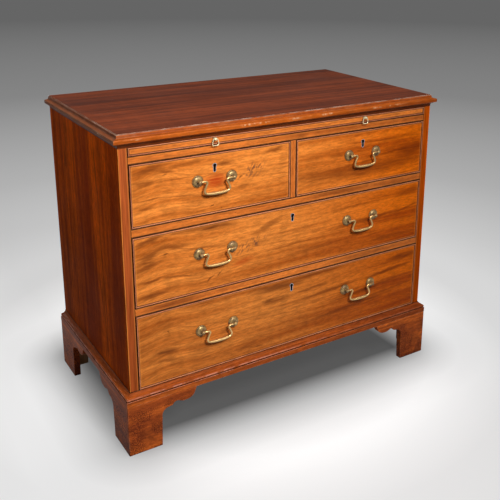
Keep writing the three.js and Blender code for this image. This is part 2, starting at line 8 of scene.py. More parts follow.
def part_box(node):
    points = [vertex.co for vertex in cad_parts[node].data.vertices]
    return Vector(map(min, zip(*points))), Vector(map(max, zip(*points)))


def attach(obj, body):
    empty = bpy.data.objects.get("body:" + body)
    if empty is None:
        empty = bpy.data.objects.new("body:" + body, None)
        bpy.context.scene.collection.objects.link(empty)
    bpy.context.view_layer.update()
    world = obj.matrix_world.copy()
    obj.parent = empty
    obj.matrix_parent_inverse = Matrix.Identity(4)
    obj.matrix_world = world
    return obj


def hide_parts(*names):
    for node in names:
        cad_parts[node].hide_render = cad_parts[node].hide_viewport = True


# A mahogany bachelor's chest, dressed round its construction. Lengths are in metres.
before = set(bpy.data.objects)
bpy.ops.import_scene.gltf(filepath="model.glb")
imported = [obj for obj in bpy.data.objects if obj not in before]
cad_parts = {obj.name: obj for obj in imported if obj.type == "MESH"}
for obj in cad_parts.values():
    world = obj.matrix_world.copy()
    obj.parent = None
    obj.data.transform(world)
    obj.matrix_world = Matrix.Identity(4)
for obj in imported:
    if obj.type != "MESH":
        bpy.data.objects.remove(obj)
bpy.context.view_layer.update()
scene = bpy.context.scene
scene.view_settings.view_transform = "Standard"
print("frame loaded with", len(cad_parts), "nodes")

# Planes that the pieces share
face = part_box("side_panel_left")[0].y  # front of the carcass
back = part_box("back_panel")[1].y
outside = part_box("side_panel_right")[1].x  # half the carcass width
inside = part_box("side_panel_right")[0].x
clear = 0.0001  # room between pieces that touch on the real chest
past = 0.01  # how far a cut runs out of the wood

viewpoint = dict(
    place=(-1.0267, -1.8010, 1.2211),
    yaw=33.35,
    pitch=16.21,
    roll=0.74,
    lens=54.5,
    shift=(-0.0838, -0.1746),
)


def makeCamera():
    data = bpy.data.cameras.new("camera")
    data.lens = viewpoint["lens"]
    data.shift_x, data.shift_y = viewpoint["shift"]
    camera = bpy.data.objects.new("camera", data)
    heading = Matrix.Rotation(radians(-viewpoint["yaw"]), 4, "Z")
    tilt = Matrix.Rotation(radians(90 - viewpoint["pitch"]), 4, "X")
    lean = Matrix.Rotation(radians(viewpoint["roll"]), 4, "Z")
    camera.matrix_world = Matrix.Translation(viewpoint["place"]) @ heading @ tilt @ lean
    scene.collection.objects.link(camera)
    scene.camera = camera


makeCamera()


# Shader nodes: they go into the tree that was started last
current = dict(tree=None)


def tint(code):  # a colour written as it looks on a screen
    parts = [int(code[i : i + 2], 16) / 255 for i in (1, 3, 5)]
    return [p / 12.92 if p <= 0.04045 else ((p + 0.055) / 1.055) ** 2.4 for p in parts] + [1]


def connect(sockets, values):
    for socket, value in values.items():
        if isinstance(value, bpy.types.NodeSocket):
            current["tree"].links.new(value, sockets[socket])
        else:
            sockets[socket].default_value = value


def addNode(kind, inputs=None, **settings):
    node = current["tree"].nodes.new("ShaderNode" + kind)
    for name, value in settings.items():
        setattr(node, name, value)
    connect(node.inputs, inputs or {})
    return node


def number(operation, *values, clamp=False):
    node = addNode("Math", dict(enumerate(values)), operation=operation, use_clamp=clamp)
    return node.outputs[0]


def times(first, *others):
    for value in others:
        first = number("MULTIPLY", first, value)
    return first


def plus(first, second):
    return number("ADD", first, second)


def minus(first, second):
    return number("SUBTRACT", first, second)


def vector(operation, *values):
    node = addNode("VectorMath", dict(enumerate(values)), operation=operation)
    return node.outputs["Value" if operation in ("DOT_PRODUCT", "LENGTH") else "Vector"]


def axisPart(place, axis):
    return addNode("SeparateXYZ", {"Vector": place}).outputs[axis]


def distanceFrom(value, at):
    return number("ABSOLUTE", minus(value, at))


def heightShare(place, low, high):
    return number("DIVIDE", minus(axisPart(place, "Z"), low.z), high.z - low.z)


def blend(share, first, second, mode="MIX"):
    node = addNode("Mix", {0: share, 6: first, 7: second}, data_type="RGBA", blend_type=mode)
    return node.outputs[2]


def between(value, low, high, start=0.0, end=1.0):
    inputs = {"Value": value, "From Min": low, "From Max": high, "To Min": start, "To Max": end}
    return addNode("MapRange", inputs, interpolation_type="SMOOTHSTEP").outputs["Result"]


def cloud(place, stretch, detail=2, roughness=0.5, colour=False):
    stretch = stretch if isinstance(stretch, tuple) else (stretch,) * 3
    inputs = {"Vector": vector("MULTIPLY", place, stretch), "Scale": 1.0}
    inputs.update({"Detail": detail, "Roughness": roughness})
    return addNode("TexNoise", inputs).outputs["Color" if colour else "Fac"]


# A cloud hardened into patches between two of its values. Rows of numbers in the settings hold what
# between, cloud and patches take after their first argument
def patches(place, stretch, detail, limits, results=(0.0, 1.0), roughness=0.5):
    return between(cloud(place, stretch, detail, roughness), *limits, *results)


def brighten(colour, value):
    return addNode("HueSaturation", {"Color": colour, "Value": value}).outputs["Color"]


def bumped(height, strength, distance):
    inputs = {"Height": height, "Strength": strength, "Distance": distance}
    return addNode("Bump", inputs).outputs[0]


def newGroup(name, inputs, outputs):
    tree = current["tree"] = bpy.data.node_groups.new(name, "ShaderNodeTree")
    for label, value in inputs.items():
        kind = "Float" if isinstance(value, float) else "Vector" if len(value) == 3 else "Color"
        socket = tree.interface.new_socket(label, in_out="INPUT", socket_type="NodeSocket" + kind)
        socket.default_value = value
    for label in outputs:
        kind = "Color" if label == "Color" else "Float"
        tree.interface.new_socket(label, in_out="OUTPUT", socket_type="NodeSocket" + kind)
    return tree, tree.nodes.new("NodeGroupInput").outputs, tree.nodes.new("NodeGroupOutput").inputs


def useGroup(group, inputs):
    return addNode("Group", inputs, node_tree=group).outputs


white, grey, black = (1, 1, 1, 1), (0.5, 0.5, 0.5, 1), (0, 0, 0, 1)

# Grain: how often each cloud comes round in a metre, along it and across it, then the shares that are mixed
grain = dict(
    drift=((1.5, 4, 4), 2),
    broad=((1.1, 14, 14), 3),
    streak=((2.2, 62, 62), 4, 0.6),
    vein=((1.7, 34, 34), 2),
    fibre=((14, 520, 520), 2),
    fleck=((50, 210, 210), 3, (0.33, 0.67), (-0.5, 0.5), 0.7),
    ribbon=((30, 7, 7), 1, (0.3, 0.7)),
    pore=((75, 1500, 1500), 1, (0.60, 0.70)),
    broadShare=0.55,
    streakShare=0.45,
    contrast=8.0,
    veinLine=(0.0, 0.035, 1.0, 0.0),
    veined=(0.42, 0.6),
    fibreLight=(0.26, 0.84),
    ribbonLight=0.10,
    poreShare=0.6,
    fibreHeight=0.35,
)


# Wood whose grain runs along the first axis of its vector
def makeGrainGroup():
    amounts = dict(Wander=0.03, Contrast=0.5, Veins=0.5, Pores=0.5, Fleck=0.2)
    inputs = dict(Vector=(0, 0, 0), Light=white, Middle=grey, Dark=black, **amounts)
    group, given, result = newGroup("woodGrain", inputs, ("Color", "Height"))
    place = given["Vector"]
    drift = vector("SUBTRACT", cloud(place, *grain["drift"], colour=True), (0.5, 0.5, 0.5))
    sway = addNode("CombineXYZ", {"Y": given["Wander"], "Z": given["Wander"]}).outputs[0]
    place = vector("ADD", place, vector("MULTIPLY", drift, sway))
    broad = cloud(place, *grain["broad"])
    streak = times(cloud(place, *grain["streak"]), grain["streakShare"])
    centred = minus(plus(times(broad, grain["broadShare"]), streak), 0.5)
    tone = number("MULTIPLY_ADD", centred, times(given["Contrast"], grain["contrast"]), 0.5)
    colour = blend(between(tone, 0.0, 1.0), given["Middle"], given["Light"])
    line = between(distanceFrom(cloud(place, *grain["vein"]), 0.5), *grain["veinLine"])
    vein = times(line, between(broad, *grain["veined"]), given["Veins"])
    colour = blend(vein, colour, given["Dark"])
    fibre = cloud(place, *grain["fibre"])
    fleck = patches(place, *grain["fleck"])
    ribbon = patches(given["Vector"], *grain["ribbon"])
    value = number("MULTIPLY_ADD", fibre, *grain["fibreLight"])
    value = plus(value, times(ribbon, grain["ribbonLight"]))
    colour = brighten(colour, plus(value, times(fleck, given["Fleck"])))
    pore = times(patches(place, *grain["pore"]), given["Pores"])
    colour = blend(times(pore, grain["poreShare"]), colour, given["Dark"])
    connect(result, dict(Color=colour, Height=minus(times(fibre, grain["fibreHeight"]), pore)))
    return group


# Rubbed edges, and corners and gaps made darker by ambient occlusion: partly dirt, partly painted shade
handled = dict(
    corner=(0.40, 0.96, 1.0, 0.0),
    arris=(0.004, 0.12),
    patchy=(28, 4, (0.4, 0.62), (0.0, 1.0), 0.65),
    uneven=(60, 3, (0.3, 0.6), (0.75, 1.0)),
)


def makeHandlingGroup():
    amounts = dict(Wear=0.5, Darkening=0.5, Reach=0.005, Edge=0.002)
    inputs = dict(Color=white, Vector=(0, 0, 0), WornAndLit=white, GrimeShade=black, **amounts)
    group, given, result = newGroup("handling", inputs, ("Color", "Corner"))
    # Ambient occlusion finds corners and gaps, where dirt gathers and shade falls: their darker colour is
    # partly painted shade
    corner = addNode("AmbientOcclusion", {"Distance": given["Reach"]}, samples=8)
    corner = between(corner.outputs["AO"], *handled["corner"])
    rounded = addNode("Bevel", {"Radius": given["Edge"]}, samples=4).outputs[0]
    plain = addNode("NewGeometry").outputs["Normal"]
    edge = between(minus(1.0, vector("DOT_PRODUCT", rounded, plain)), *handled["arris"])
    patchy = patches(given["Vector"], *handled["patchy"])
    wearAndHighlight = times(edge, minus(1.0, corner), patchy, given["Wear"])
    # Corners and gaps made darker: partly dirt, partly painted shade
    dirtAndShade = times(corner, patches(given["Vector"], *handled["uneven"]), given["Darkening"])
    colour = blend(dirtAndShade, given["Color"], given["GrimeShade"])
    connect(result, dict(Color=blend(wearAndHighlight, colour, given["WornAndLit"]), Corner=dirtAndShade))
    return group


# A soft oval patch, leaning in the plane of the fronts
patchFade = (0.20, 1.05, 1.0, 0.0)


def makePatchGroup():
    sizes = dict(Centre=(0, 0, 0), Size=(0.1, 1, 0.02), Lean=0.0, Strength=0.5)
    group, given, result = newGroup("patch", dict(Vector=(0, 0, 0), **sizes), ("Mask",))
    turning = {"Vector": given["Vector"], "Center": given["Centre"], "Angle": given["Lean"]}
    turned = addNode("VectorRotate", dict(turning, Axis=(0, 1, 0))).outputs[0]
    local = vector("DIVIDE", vector("SUBTRACT", turned, given["Centre"]), given["Size"])
    far = vector("LENGTH", vector("MULTIPLY", local, (1, 0, 1)))
    mask = times(between(far, *patchFade), given["Strength"])
    connect(result, dict(Mask=mask))
    return group


# Metal between bright and dull, darker in its corners, and painted darker underneath as shade
tarnished = dict(
    reach=0.006,
    corner=(0.35, 0.95, 1.0, 0.0),
    cornerShare=0.85,
    mottled=(130, 4, 0.6),
    dull=(0.75, 1.15),
    specks=(900, 2, (0.62, 0.72)),
    speckShare=0.5,
    # Painted shade on faces that turn downwards
    under=(-0.75, 0.15, 1.0, 0.0),
    dullRough=0.7,
    cornerRough=0.6,
)


def makeTarnishGroup():
    amounts = dict(Dulled=0.5, Below=0.0, Smooth=0.25, Rough=0.5)
    inputs = dict(Vector=(0, 0, 0), Bright=white, Dull=grey, Dark=black, **amounts)
    group, given, result = newGroup("tarnish", inputs, ("Color", "Roughness", "Height"))
    corner = addNode("AmbientOcclusion", {"Distance": tarnished["reach"]}, samples=6, only_local=True)
    corner = between(corner.outputs["AO"], *tarnished["corner"])
    mottled = cloud(given["Vector"], *tarnished["mottled"])
    dull = between(plus(mottled, given["Dulled"]), *tarnished["dull"])
    speck = patches(given["Vector"], *tarnished["specks"])
    facing = axisPart(addNode("TexCoord").outputs["Normal"], "Z")
    # Painted shade: faces that turn downwards get darker
    under = times(between(facing, *tarnished["under"]), given["Below"])
    colour = blend(dull, given["Bright"], given["Dull"])
    speckled = times(speck, tarnished["speckShare"])
    for share in (times(corner, tarnished["cornerShare"]), speckled, under):
        colour = blend(share, colour, given["Dark"])
    spread = plus(times(dull, tarnished["dullRough"]), times(corner, tarnished["cornerRough"]))
    limits = {"Value": spread, "To Min": given["Smooth"], "To Max": given["Rough"]}
    rough = addNode("MapRange", limits).outputs["Result"]
    connect(result, dict(Color=colour, Roughness=rough, Height=minus(mottled, speck)))
    return group


woodGrain = makeGrainGroup()
handling = makeHandlingGroup()
patch = makePatchGroup()
tarnish = makeTarnishGroup()

# Woods: colours, then how far the grain wanders and how strong each part of it is
# The grime colour and the dirt amount make each wood's corners and gaps darker: partly dirt, partly painted
# shade
woods = dict(
    front=dict(
        light="#f4903c", middle="#b45a1a", dark="#6a2c0c", wornandlit="#f6b070", grimeshade="#220c04", wander=0.016,
        contrast=0.44, veins=0.30, pores=0.5, fleck=0.38, roughness=0.40, specular=0.10, wear=0.4, darkening=1.0,
    ),
    rail=dict(
        light="#ee8434", middle="#a8521c", dark="#55200a", wornandlit="#f0a060", grimeshade="#220c04", wander=0.010,
        contrast=0.36, veins=0.25, pores=0.6, fleck=0.34, roughness=0.42, specular=0.16, wear=0.4, darkening=1.0,
    ),
    side=dict(
        light="#c45204", middle="#822c01", dark="#421600", wornandlit="#c06a28", grimeshade="#1c0a04", wander=0.020,
        contrast=0.50, veins=0.60, pores=0.6, fleck=0.46, roughness=0.6, specular=0.01, wear=0.35, darkening=0.8,
    ),
    top=dict(
        light="#8a3e1c", middle="#5a2612", dark="#361408", wornandlit="#c07848", grimeshade="#1c0d08", wander=0.020,
        contrast=0.50, veins=0.45, pores=0.4, fleck=0.24, roughness=0.42, specular=0.14, wear=0.5, darkening=0.6,
    ),
    edge=dict(
        light="#bc5c18", middle="#944010", dark="#4a1c08", wornandlit="#f0b078", grimeshade="#120602", wander=0.010,
        contrast=0.45, veins=0.25, pores=0.4, fleck=0.26, roughness=0.38, specular=0.10, wear=0.12, darkening=1.0,
    ),
    # A darker copy of the edge wood for the top's sides, as painted shade: they get less light
    shadedMouldedSide=dict(
        light="#a4603c", middle="#7c4224", dark="#48200c", wornandlit="#e8b498", grimeshade="#160804", wander=0.010,
        contrast=0.45, veins=0.25, pores=0.4, fleck=0.26, roughness=0.42, specular=0.09, wear=0.15, darkening=1.0,
    ),
    base=dict(
        light="#be5e22", middle="#843a16", dark="#481c0c", wornandlit="#f0a880", grimeshade="#1a0a05", wander=0.018,
        contrast=0.45, veins=0.40, pores=0.6, fleck=0.46, roughness=0.50, specular=0.07, wear=0.6, darkening=1.0,
    ),
    bead=dict(
        light="#d88a5c", middle="#b06644", dark="#4a2016", wornandlit="#eaae92", grimeshade="#2a0c05", wander=0.004,
        contrast=0.35, veins=0.20, pores=0.3, fleck=0.3, roughness=0.36, specular=0.11, wear=0.5, darkening=1.0,
    ),
    oak=dict(
        light="#dcae78", middle="#b4824c", dark="#704a28", wornandlit="#e0bc8c", grimeshade="#4a3420", wander=0.010,
        contrast=0.40, veins=0.25, pores=0.9, fleck=0.2, roughness=0.72, specular=0.3, wear=0.3, darkening=0.5,
    ),
    pine=dict(
        light="#cda478", middle="#a87c50", dark="#5c3c22", wornandlit="#c09a6c", grimeshade="#33221a", wander=0.030,
        contrast=0.50, veins=0.5, pores=0.3, fleck=0.2, roughness=0.8, specular=0.3, wear=0.3, darkening=0.6,
    ),
)
grainTurns = dict(x=(0, 0, 0), y=(0, 0, -90), z=(0, 90, 0))
# Every wood has smears in its polish and shallow dents
polish = dict(smears=9, smearing=0.22, dulledCorner=0.25, dents=18, dentDepth=1.6, bump=(0.35, 0.0005))


def startMaterial(name):
    material = bpy.data.materials.new(name)
    material.use_nodes = True
    current["tree"] = material.node_tree
    shader = material.node_tree.nodes["Principled BSDF"].inputs
    return material, shader, addNode("TexCoord").outputs["Object"]


def settingsFrom(look, colours, amounts):
    settings = {label: tint(look[label.lower()]) for label in colours}
    settings.update({label: look.get(label.lower(), 0.0) for label in amounts})
    return settings


# A waxed or bare wood with its grain along one axis; it may be bent, and dressed before its edges are rubbed
def woodMaterial(name, kind, run="x", shift=(0, 0, 0), tilt=0.0, dress=None, bend=None):
    look = woods[kind]
    material, shader, place = startMaterial(name)
    turned = [radians(a) for a in grainTurns[run]]
    lean = addNode("Mapping", {"Vector": place, "Rotation": (0, radians(tilt), 0)}).outputs[0]
    along = addNode("Mapping", {"Vector": lean, "Location": shift, "Rotation": turned}).outputs[0]
    if bend:
        along = bend(place, along)
    amounts = ("Wander", "Contrast", "Veins", "Pores", "Fleck")
    settings = settingsFrom(look, ("Light", "Middle", "Dark"), amounts)
    grained = useGroup(woodGrain, dict(settings, Vector=along))
    colour = dress(place, grained["Color"]) if dress else grained["Color"]
    settings = settingsFrom(look, ("WornAndLit", "GrimeShade"), ("Wear", "Darkening"))
    shown = useGroup(handling, dict(settings, Color=colour, Vector=place))
    smears = cloud(place, polish["smears"], 3)
    dull = look["roughness"] - polish["smearing"] / 2
    rough = number("MULTIPLY_ADD", smears, polish["smearing"], dull)
    rough = plus(rough, times(shown["Corner"], polish["dulledCorner"]))
    dents = times(cloud(place, polish["dents"], 2), polish["dentDepth"])
    normal = bumped(plus(grained["Height"], dents), *polish["bump"])
    connect(shader, {"Base Color": shown["Color"], "Roughness": rough, "Normal": normal})
    connect(shader, {"Specular IOR Level": look["specular"]})
    return material


# Below is how much painted shade darkens a metal's faces that turn downwards
metals = dict(
    brass=dict(
        bright="#ecc280", dull="#ac8048", dark="#241606",
        dulled=0.18, smooth=0.34, rough=0.46, metal=0.85, below=0.80,
    ),
    rosette=dict(
        bright="#c4a468", dull="#846648", dark="#2c1c1a",
        dulled=0.45, smooth=0.36, rough=0.55, metal=0.5, below=0.55,
    ),
    # Paler and less metallic than the bail brass: painted light for pulls that sit in shade under the top
    pull=dict(
        bright="#fff0c0", dull="#e8c88c", dark="#4a3418",
        dulled=0.1, smooth=0.24, rough=0.40, metal=0.35, below=0.5,
    ),
    steel=dict(
        bright="#b4b8bc", dull="#74787e", dark="#24221f",
        dulled=0.4, smooth=0.3, rough=0.5, metal=0.9,
    ),
    liner=dict(
        bright="#c8ccd4", dull="#8a8f9a", dark="#3a3a3e",
        dulled=0.3, smooth=0.3, rough=0.5, metal=0.4,
    ),
    # Near-black, a painted shade for the inside of the keyholes
    shadowBlack=dict(
        bright="#1c1a1a", dull="#121010", dark="#060505",
        dulled=0.5, smooth=0.6, rough=0.8, metal=0.0,
    ),
    iron=dict(
        bright="#6a6460", dull="#453c36", dark="#1c1512",
        dulled=0.5, smooth=0.45, rough=0.7, metal=0.9,
    ),
)
metalBump = (0.15, 0.0002)


def metalMaterial(name, kind):
    look = metals[kind]
    material, shader, place = startMaterial(name)
    settings = settingsFrom(look, ("Bright", "Dull", "Dark"), ("Dulled", "Below", "Smooth", "Rough"))
    shown = useGroup(tarnish, dict(settings, Vector=place))
    normal = bumped(shown["Height"], *metalBump)
    connect(shader, {"Base Color": shown["Color"], "Roughness": shown["Roughness"], "Normal": normal})
    connect(shader, {"Metallic": look["metal"]})
    return material


# Shapes
weld = 1e-6
sharp = radians(32)  # edges that turn further than this are arrises
square = [(-1, -1), (1, -1), (1, 1), (-1, 1)]


def bar(bm, low, high):
    low, high = Vector(low), Vector(high)
    bmesh.ops.create_cube(bm, size=1, matrix=Matrix.LocRotScale((low + high) / 2, None, high - low))


def placeAt(corner, across, up):
    across, up = Vector(across), Vector(up)
    along = across.cross(up).normalized()
    return Matrix.Translation(corner) @ Matrix((across, up, along)).transposed().to_4x4()


# A flat outline drawn at the first place and pulled through the others, as a solid or as a closed ring
def pullThrough(bm, outline, places, ring=False):
    start = bm.faces.new([bm.verts.new(places[0] @ Vector((a, b, 0))) for a, b in outline])
    end = start
    for here, there in zip(places, places[1:]):
        grown = bmesh.ops.extrude_face_region(bm, geom=[end])["geom"]
        end = next(part for part in grown if isinstance(part, bmesh.types.BMFace))
        bmesh.ops.transform(bm, matrix=there @ here.inverted(), verts=list(end.verts))
    if ring:
        seam = list(start.verts) + list(end.verts)
        bmesh.ops.delete(bm, geom=[start, end], context="FACES_ONLY")
        bmesh.ops.remove_doubles(bm, verts=seam, dist=10 * weld)


# Two places for an outline drawn in depth and height, or in width and height
def alongX(start, end):
    return [placeAt((x, 0, 0), (0, 1, 0), (0, 0, 1)) for x in (start, end)]


def alongY(start, end):
    return [placeAt((0, y, 0), (1, 0, 0), (0, 0, 1)) for y in (start, end)]


# A profile of radius and distance, spun round an axis
def turn(bm, profile, centre, axis=(0, -1, 0), steps=48):
    axis = Vector(axis)
    side = axis.orthogonal().normalized()
    verts = [bm.verts.new(Vector(centre) + side * radius + axis * stand) for radius, stand in profile]
    edges = [bm.edges.new(pair) for pair in zip(verts, verts[1:])]
    bmesh.ops.spin(bm, geom=verts + edges, cent=centre, axis=axis, angle=2 * pi, steps=steps, use_merge=True)
    bmesh.ops.remove_doubles(bm, verts=bm.verts, dist=weld)


def drill(tools, centre, radius, reach, steps):
    turn(tools, [(0, -reach), (radius, -reach), (radius, reach), (0, reach)], centre, (1, 0, 0), steps)


# Points of an outline: its parts are corners, or curves with a control point before their end
def outlineOf(parts, steps=6):
    points = [Vector(parts[0])]
    for part in parts[1:]:
        last, control, end = points[-1], Vector(part[:2]), Vector(part[-2:])
        shares = [i / steps for i in range(1, steps + 1)] if len(part) == 4 else [1]
        points += [last * (1 - t) ** 2 + control * 2 * t * (1 - t) + end * t * t for t in shares]
    return points


def arc(centre, radius, start, end, steps):
    angles = [radians(start + (end - start) * i / steps) for i in range(steps + 1)]
    return [(centre[0] + radius * cos(a), centre[1] + radius * sin(a)) for a in angles]


def meshFrom(bm, name):
    bmesh.ops.recalc_face_normals(bm, faces=bm.faces)
    mesh = bpy.data.meshes.new(name)
    bm.to_mesh(mesh)
    bm.free()
    return mesh


def link(name, data):
    thing = bpy.data.objects.new(name, data)
    scene.collection.objects.link(thing)
    return thing


def finishedMesh(thing):
    bpy.context.view_layer.update()
    graph = bpy.context.evaluated_depsgraph_get()
    return bpy.data.meshes.new_from_object(thing.evaluated_get(graph))


def pour(bm, mesh):
    bm.from_mesh(mesh)
    bpy.data.meshes.remove(mesh)


# Cuts the second bmesh out of the first
def carve(bm, tools):
    block = link("block", meshFrom(bm, "block"))
    tool = link("tool", meshFrom(tools, "tool"))
    cut = block.modifiers.new("cut", "BOOLEAN")
    cut.operation = "DIFFERENCE"
    cut.solver = "EXACT"
    cut.object = tool
    carved = bmesh.new()
    pour(carved, finishedMesh(block))
    for thing in (block, tool):
        data = thing.data
        bpy.data.objects.remove(thing)
        bpy.data.meshes.remove(data)
    return carved


# A rod bent through points, with a radius at each
def bendRod(bm, points, radii, steps=8, sides=4):
    data = bpy.data.curves.new("rod", "CURVE")
    data.dimensions = "3D"
    data.bevel_depth = 1.0
    data.bevel_resolution = sides
    data.resolution_u = steps
    data.use_fill_caps = True
    spline = data.splines.new("BEZIER")
    spline.bezier_points.add(len(points) - 1)
    for knot, place, radius in zip(spline.bezier_points, points, radii):
        knot.co = place
        knot.radius = radius
        knot.handle_left_type = knot.handle_right_type = "AUTO"
    rod = link("rod", data)
    pour(bm, finishedMesh(rod))
    bpy.data.objects.remove(rod)
    bpy.data.curves.remove(data)
    bmesh.ops.remove_doubles(bm, verts=bm.verts, dist=weld)


# Half of a hanging handle's path, down to its lowest point, and the other half
def mirrored(half):
    return half + [(-x, z) for x, z in reversed(half[:-1])]


# Where a turned piece meets the front
def atFront(name):
    low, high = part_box(name)
    return Vector(((low.x + high.x) / 2, face, (low.z + high.z) / 2))


def addRod(bm, pivot, path, radii, steps, sides):
    bendRod(bm, [pivot + Vector((x, 0, z)) for x, z in path], radii, steps, sides)


def softenEdges(piece, width, segments=2):
    bevel = piece.modifiers.new("soft edges", "BEVEL")
    bevel.width = width
    bevel.segments = segments
    bevel.limit_method = "ANGLE"
    bevel.angle_limit = sharp
    bevel.harden_normals = True


def newPiece(name, bm, materials, body, replaces=(), soft=0.0, smooth=None):
    mesh = meshFrom(bm, name)
    for material in materials:
        mesh.materials.append(material)
    mesh.shade_smooth()
    if smooth:
        mesh.set_sharp_from_angle(angle=radians(smooth))
    piece = link(name, mesh)
    if soft:
        softenEdges(piece, soft)
    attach(piece, body)
    if replaces:
        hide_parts(*replaces)
    return piece


# A construction node that shows as it is, with its arrises taken off
def dressNode(name, material, soft=0.0006):
    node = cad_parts[name]
    node.data.materials.clear()
    node.data.materials.append(material)
    joined = node.modifiers.new("joined", "WELD")
    joined.merge_threshold = 10 * weld
    plain = node.modifiers.new("plain", "DECIMATE")
    plain.decimate_type = "DISSOLVE"
    plain.angle_limit = radians(1)
    softenEdges(node, soft)


# Boards side by side, with a narrow joint between them
def planks(bm, low, high, count, axis, joint=0.0004):
    step = (high[axis] - low[axis]) / count
    for i in range(count):
        start, end = Vector(low), Vector(high)
        start[axis] = low[axis] + i * step + (joint / 2 if i else 0)
        end[axis] = low[axis] + (i + 1) * step - (joint / 2 if i < count - 1 else 0)
        bar(bm, start, end)


# Top: its moulded edge from below, in shares of how far it stands out and of its height
topEdge = [
    (0, 0), (0.015, 0.150), (0.10, 0.240, 0.346, 0.284), (0.600, 0.335, 0.900, 0.380),
    (1.000, 0.395, 1.000, 0.450), (1.000, 0.600), (0.990, 0.665, 0.930, 0.676), (0.438, 0.695),
    (0.200, 0.730, 0.146, 0.835), (0.110, 0.920, 0.060, 0.945), (-0.077, 0.950), (-0.077, 0.990),
    (-0.095, 1.000),
]


# Shares of the top's height: the hollow below the nose is painted dark as shade, a painted shadow lies in
# the cove, the nose has broken painted glints of light, and the arris above it is lighter, partly wear and
# partly a painted highlight
mouldShade = dict(
    dark="#431608",
    shadedHollow=(0.16, 0.30, 0.78, 0.0),
    cove=(0.80, 0.0, 0.10, 0.40),
    arris="#d8b8a4",
    arrisRise=(0.935, 0.955),
    wornandlit=(40, 3, (0.35, 0.65), (0.1, 0.75), 0.6),
    glint="#ffcc9c",
    nose=(0.60, 0.04, 0.09, 1.0),
    glints=(90, 4, (0.46, 0.60), (0.0, 0.55), 0.7),
    broken=(11, 1, (0.46, 0.60)),
)


# A line at one share of a height: solid within the first distance, gone at the second
def lineAt(value, at, inner, outer, strength):
    return between(distanceFrom(value, at), inner, outer, strength, 0.0)


def mouldedDress(place, colour):
    look = mouldShade
    up = heightShare(place, *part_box("top_board"))
    # Painted shade in the hollow below the nose, and a painted shadow in the cove
    darkening = number("MAXIMUM", between(up, *look["shadedHollow"]), lineAt(up, *look["cove"]))
    colour = blend(darkening, colour, tint(look["dark"]))
    # The arris lighter in patches: partly wear, partly a painted highlight
    wearAndHighlight = times(between(up, *look["arrisRise"]), patches(place, *look["wornandlit"]))
    colour = blend(wearAndHighlight, colour, tint(look["arris"]))
    # Painted glints of light on the nose
    glints = times(patches(place, *look["glints"]), patches(place, *look["broken"]))
    shown = times(glints, lineAt(up, *look["nose"]))
    return blend(shown, colour, tint(look["glint"]))


def makeTop():
    low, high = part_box("top_board")
    out, rise = high.x - outside, high.z - low.z
    places = []
    for share, up in outlineOf(topEdge):
        reach = share * out
        across, depth = (outside + reach, 0, 0), (0, face - reach - back, 0)
        places.append(placeAt((0, back, low.z + up * rise), across, depth))
    bm = bmesh.new()
    pullThrough(bm, [(-1, 0), (1, 0), (1, 1), (-1, 1)], places)
    for flat in bm.faces:
        level = len({round(vert.co.z, 6) for vert in flat.verts}) == 1
        if not level:
            width = max(abs(edge.verts[0].co.x - edge.verts[1].co.x) for edge in flat.edges)
            flat.material_index = 1 if width > outside else 2
    shift = (0.3, 0.2, 0.1)
    materials = [
        woodMaterial("waxed top", "top", "x", shift),
        woodMaterial("top edge, front", "edge", "x", shift, dress=mouldedDress),
        # The sides of the moulded edge take the shaded copy of the edge wood
        woodMaterial("top edge, sides", "shadedMouldedSide", "y", shift, dress=mouldedDress),
    ]
    newPiece("moulded_top", bm, materials, "carcass", ["top_board"], smooth=28)


# Base moulding in three mitred lengths: its outline in shares of how far it stands out and of its height
baseEdge = [
    (1, 0), (1, 0.395), (1.0, 0.450, 0.935, 0.452), (0.853, 0.458), (0.853, 0.497),
    (0.925, 0.505, 0.932, 0.580), (0.925, 0.665, 0.853, 0.677), (0.735, 0.715),
    (0.120, 0.745, 0.067, 1.0), (0, 1), (0, 0),
]


# Shares of the moulding's height: dark lines lie along its top and over the feet, partly dirt and partly
# painted shade, and its arrises carry painted highlights in patches, less towards the right
baseShade = dict(
    dark="#1c0906",
    lines=[(1.0, 0.055, 0.92), (0.475, 0.030, 0.88)],
    pale="#f0a48c",
    fades=(-0.25, 0.25, 1.0, 0.2),
    wornandlit=(40, 4, (0.36, 0.62), (0.0, 1.0), 0.7),
    wearAndHighlight=[(0.62, 0.060, 0.80), (0.435, 0.022, 0.80)],
    core=dict(wearAndHighlight=0.3, lines=0.5),
)


def baseDress(place, colour):
    look = baseShade
    up = heightShare(place, *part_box("base_moulding"))
    fading = between(axisPart(place, "X"), *look["fades"])
    wornandlit = patches(place, *look["wornandlit"])
    # Painted highlights along the arrises, broken into patches and fading towards the right
    for at, half, strength in look["wearAndHighlight"]:
        line = lineAt(up, at, look["core"]["wearAndHighlight"] * half, half, strength)
        colour = blend(times(line, wornandlit, fading), colour, tint(look["pale"]))
    # Dark lines: partly dirt, partly painted shade
    for at, half, strength in look["lines"]:
        line = lineAt(up, at, look["core"]["lines"] * half, half, strength)
        colour = blend(line, colour, tint(look["dark"]))
    return colour


def makeBaseMoulding():
    low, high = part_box("base_moulding")
    out, rise = high.x - outside, high.z - low.z
    outline = [(a * out, b * rise) for a, b in outlineOf(baseEdge)]
    corners = [(-1, back, (-1, 0, 0)), (-1, face, (-1, -1, 0)), (1, face, (1, -1, 0)), (1, back, (1, 0, 0))]
    places = [placeAt((side * outside, y, low.z), across, (0, 0, 1)) for side, y, across in corners]
    bm = bmesh.new()
    pullThrough(bm, outline, places)
    for flat in bm.faces:
        flat.material_index = 0 if abs(flat.calc_center_median().x) < outside - clear else 1
    materials = [
        woodMaterial("base moulding, front", "base", "x", (0.7, 0.1, 0.4), dress=baseDress),
        woodMaterial("base moulding, sides", "base", "y", (0.1, 0.6, 0.2), dress=baseDress),
    ]
    newPiece("mitred_base_moulding", bm, materials, "carcass", ["base_moulding"], smooth=28)


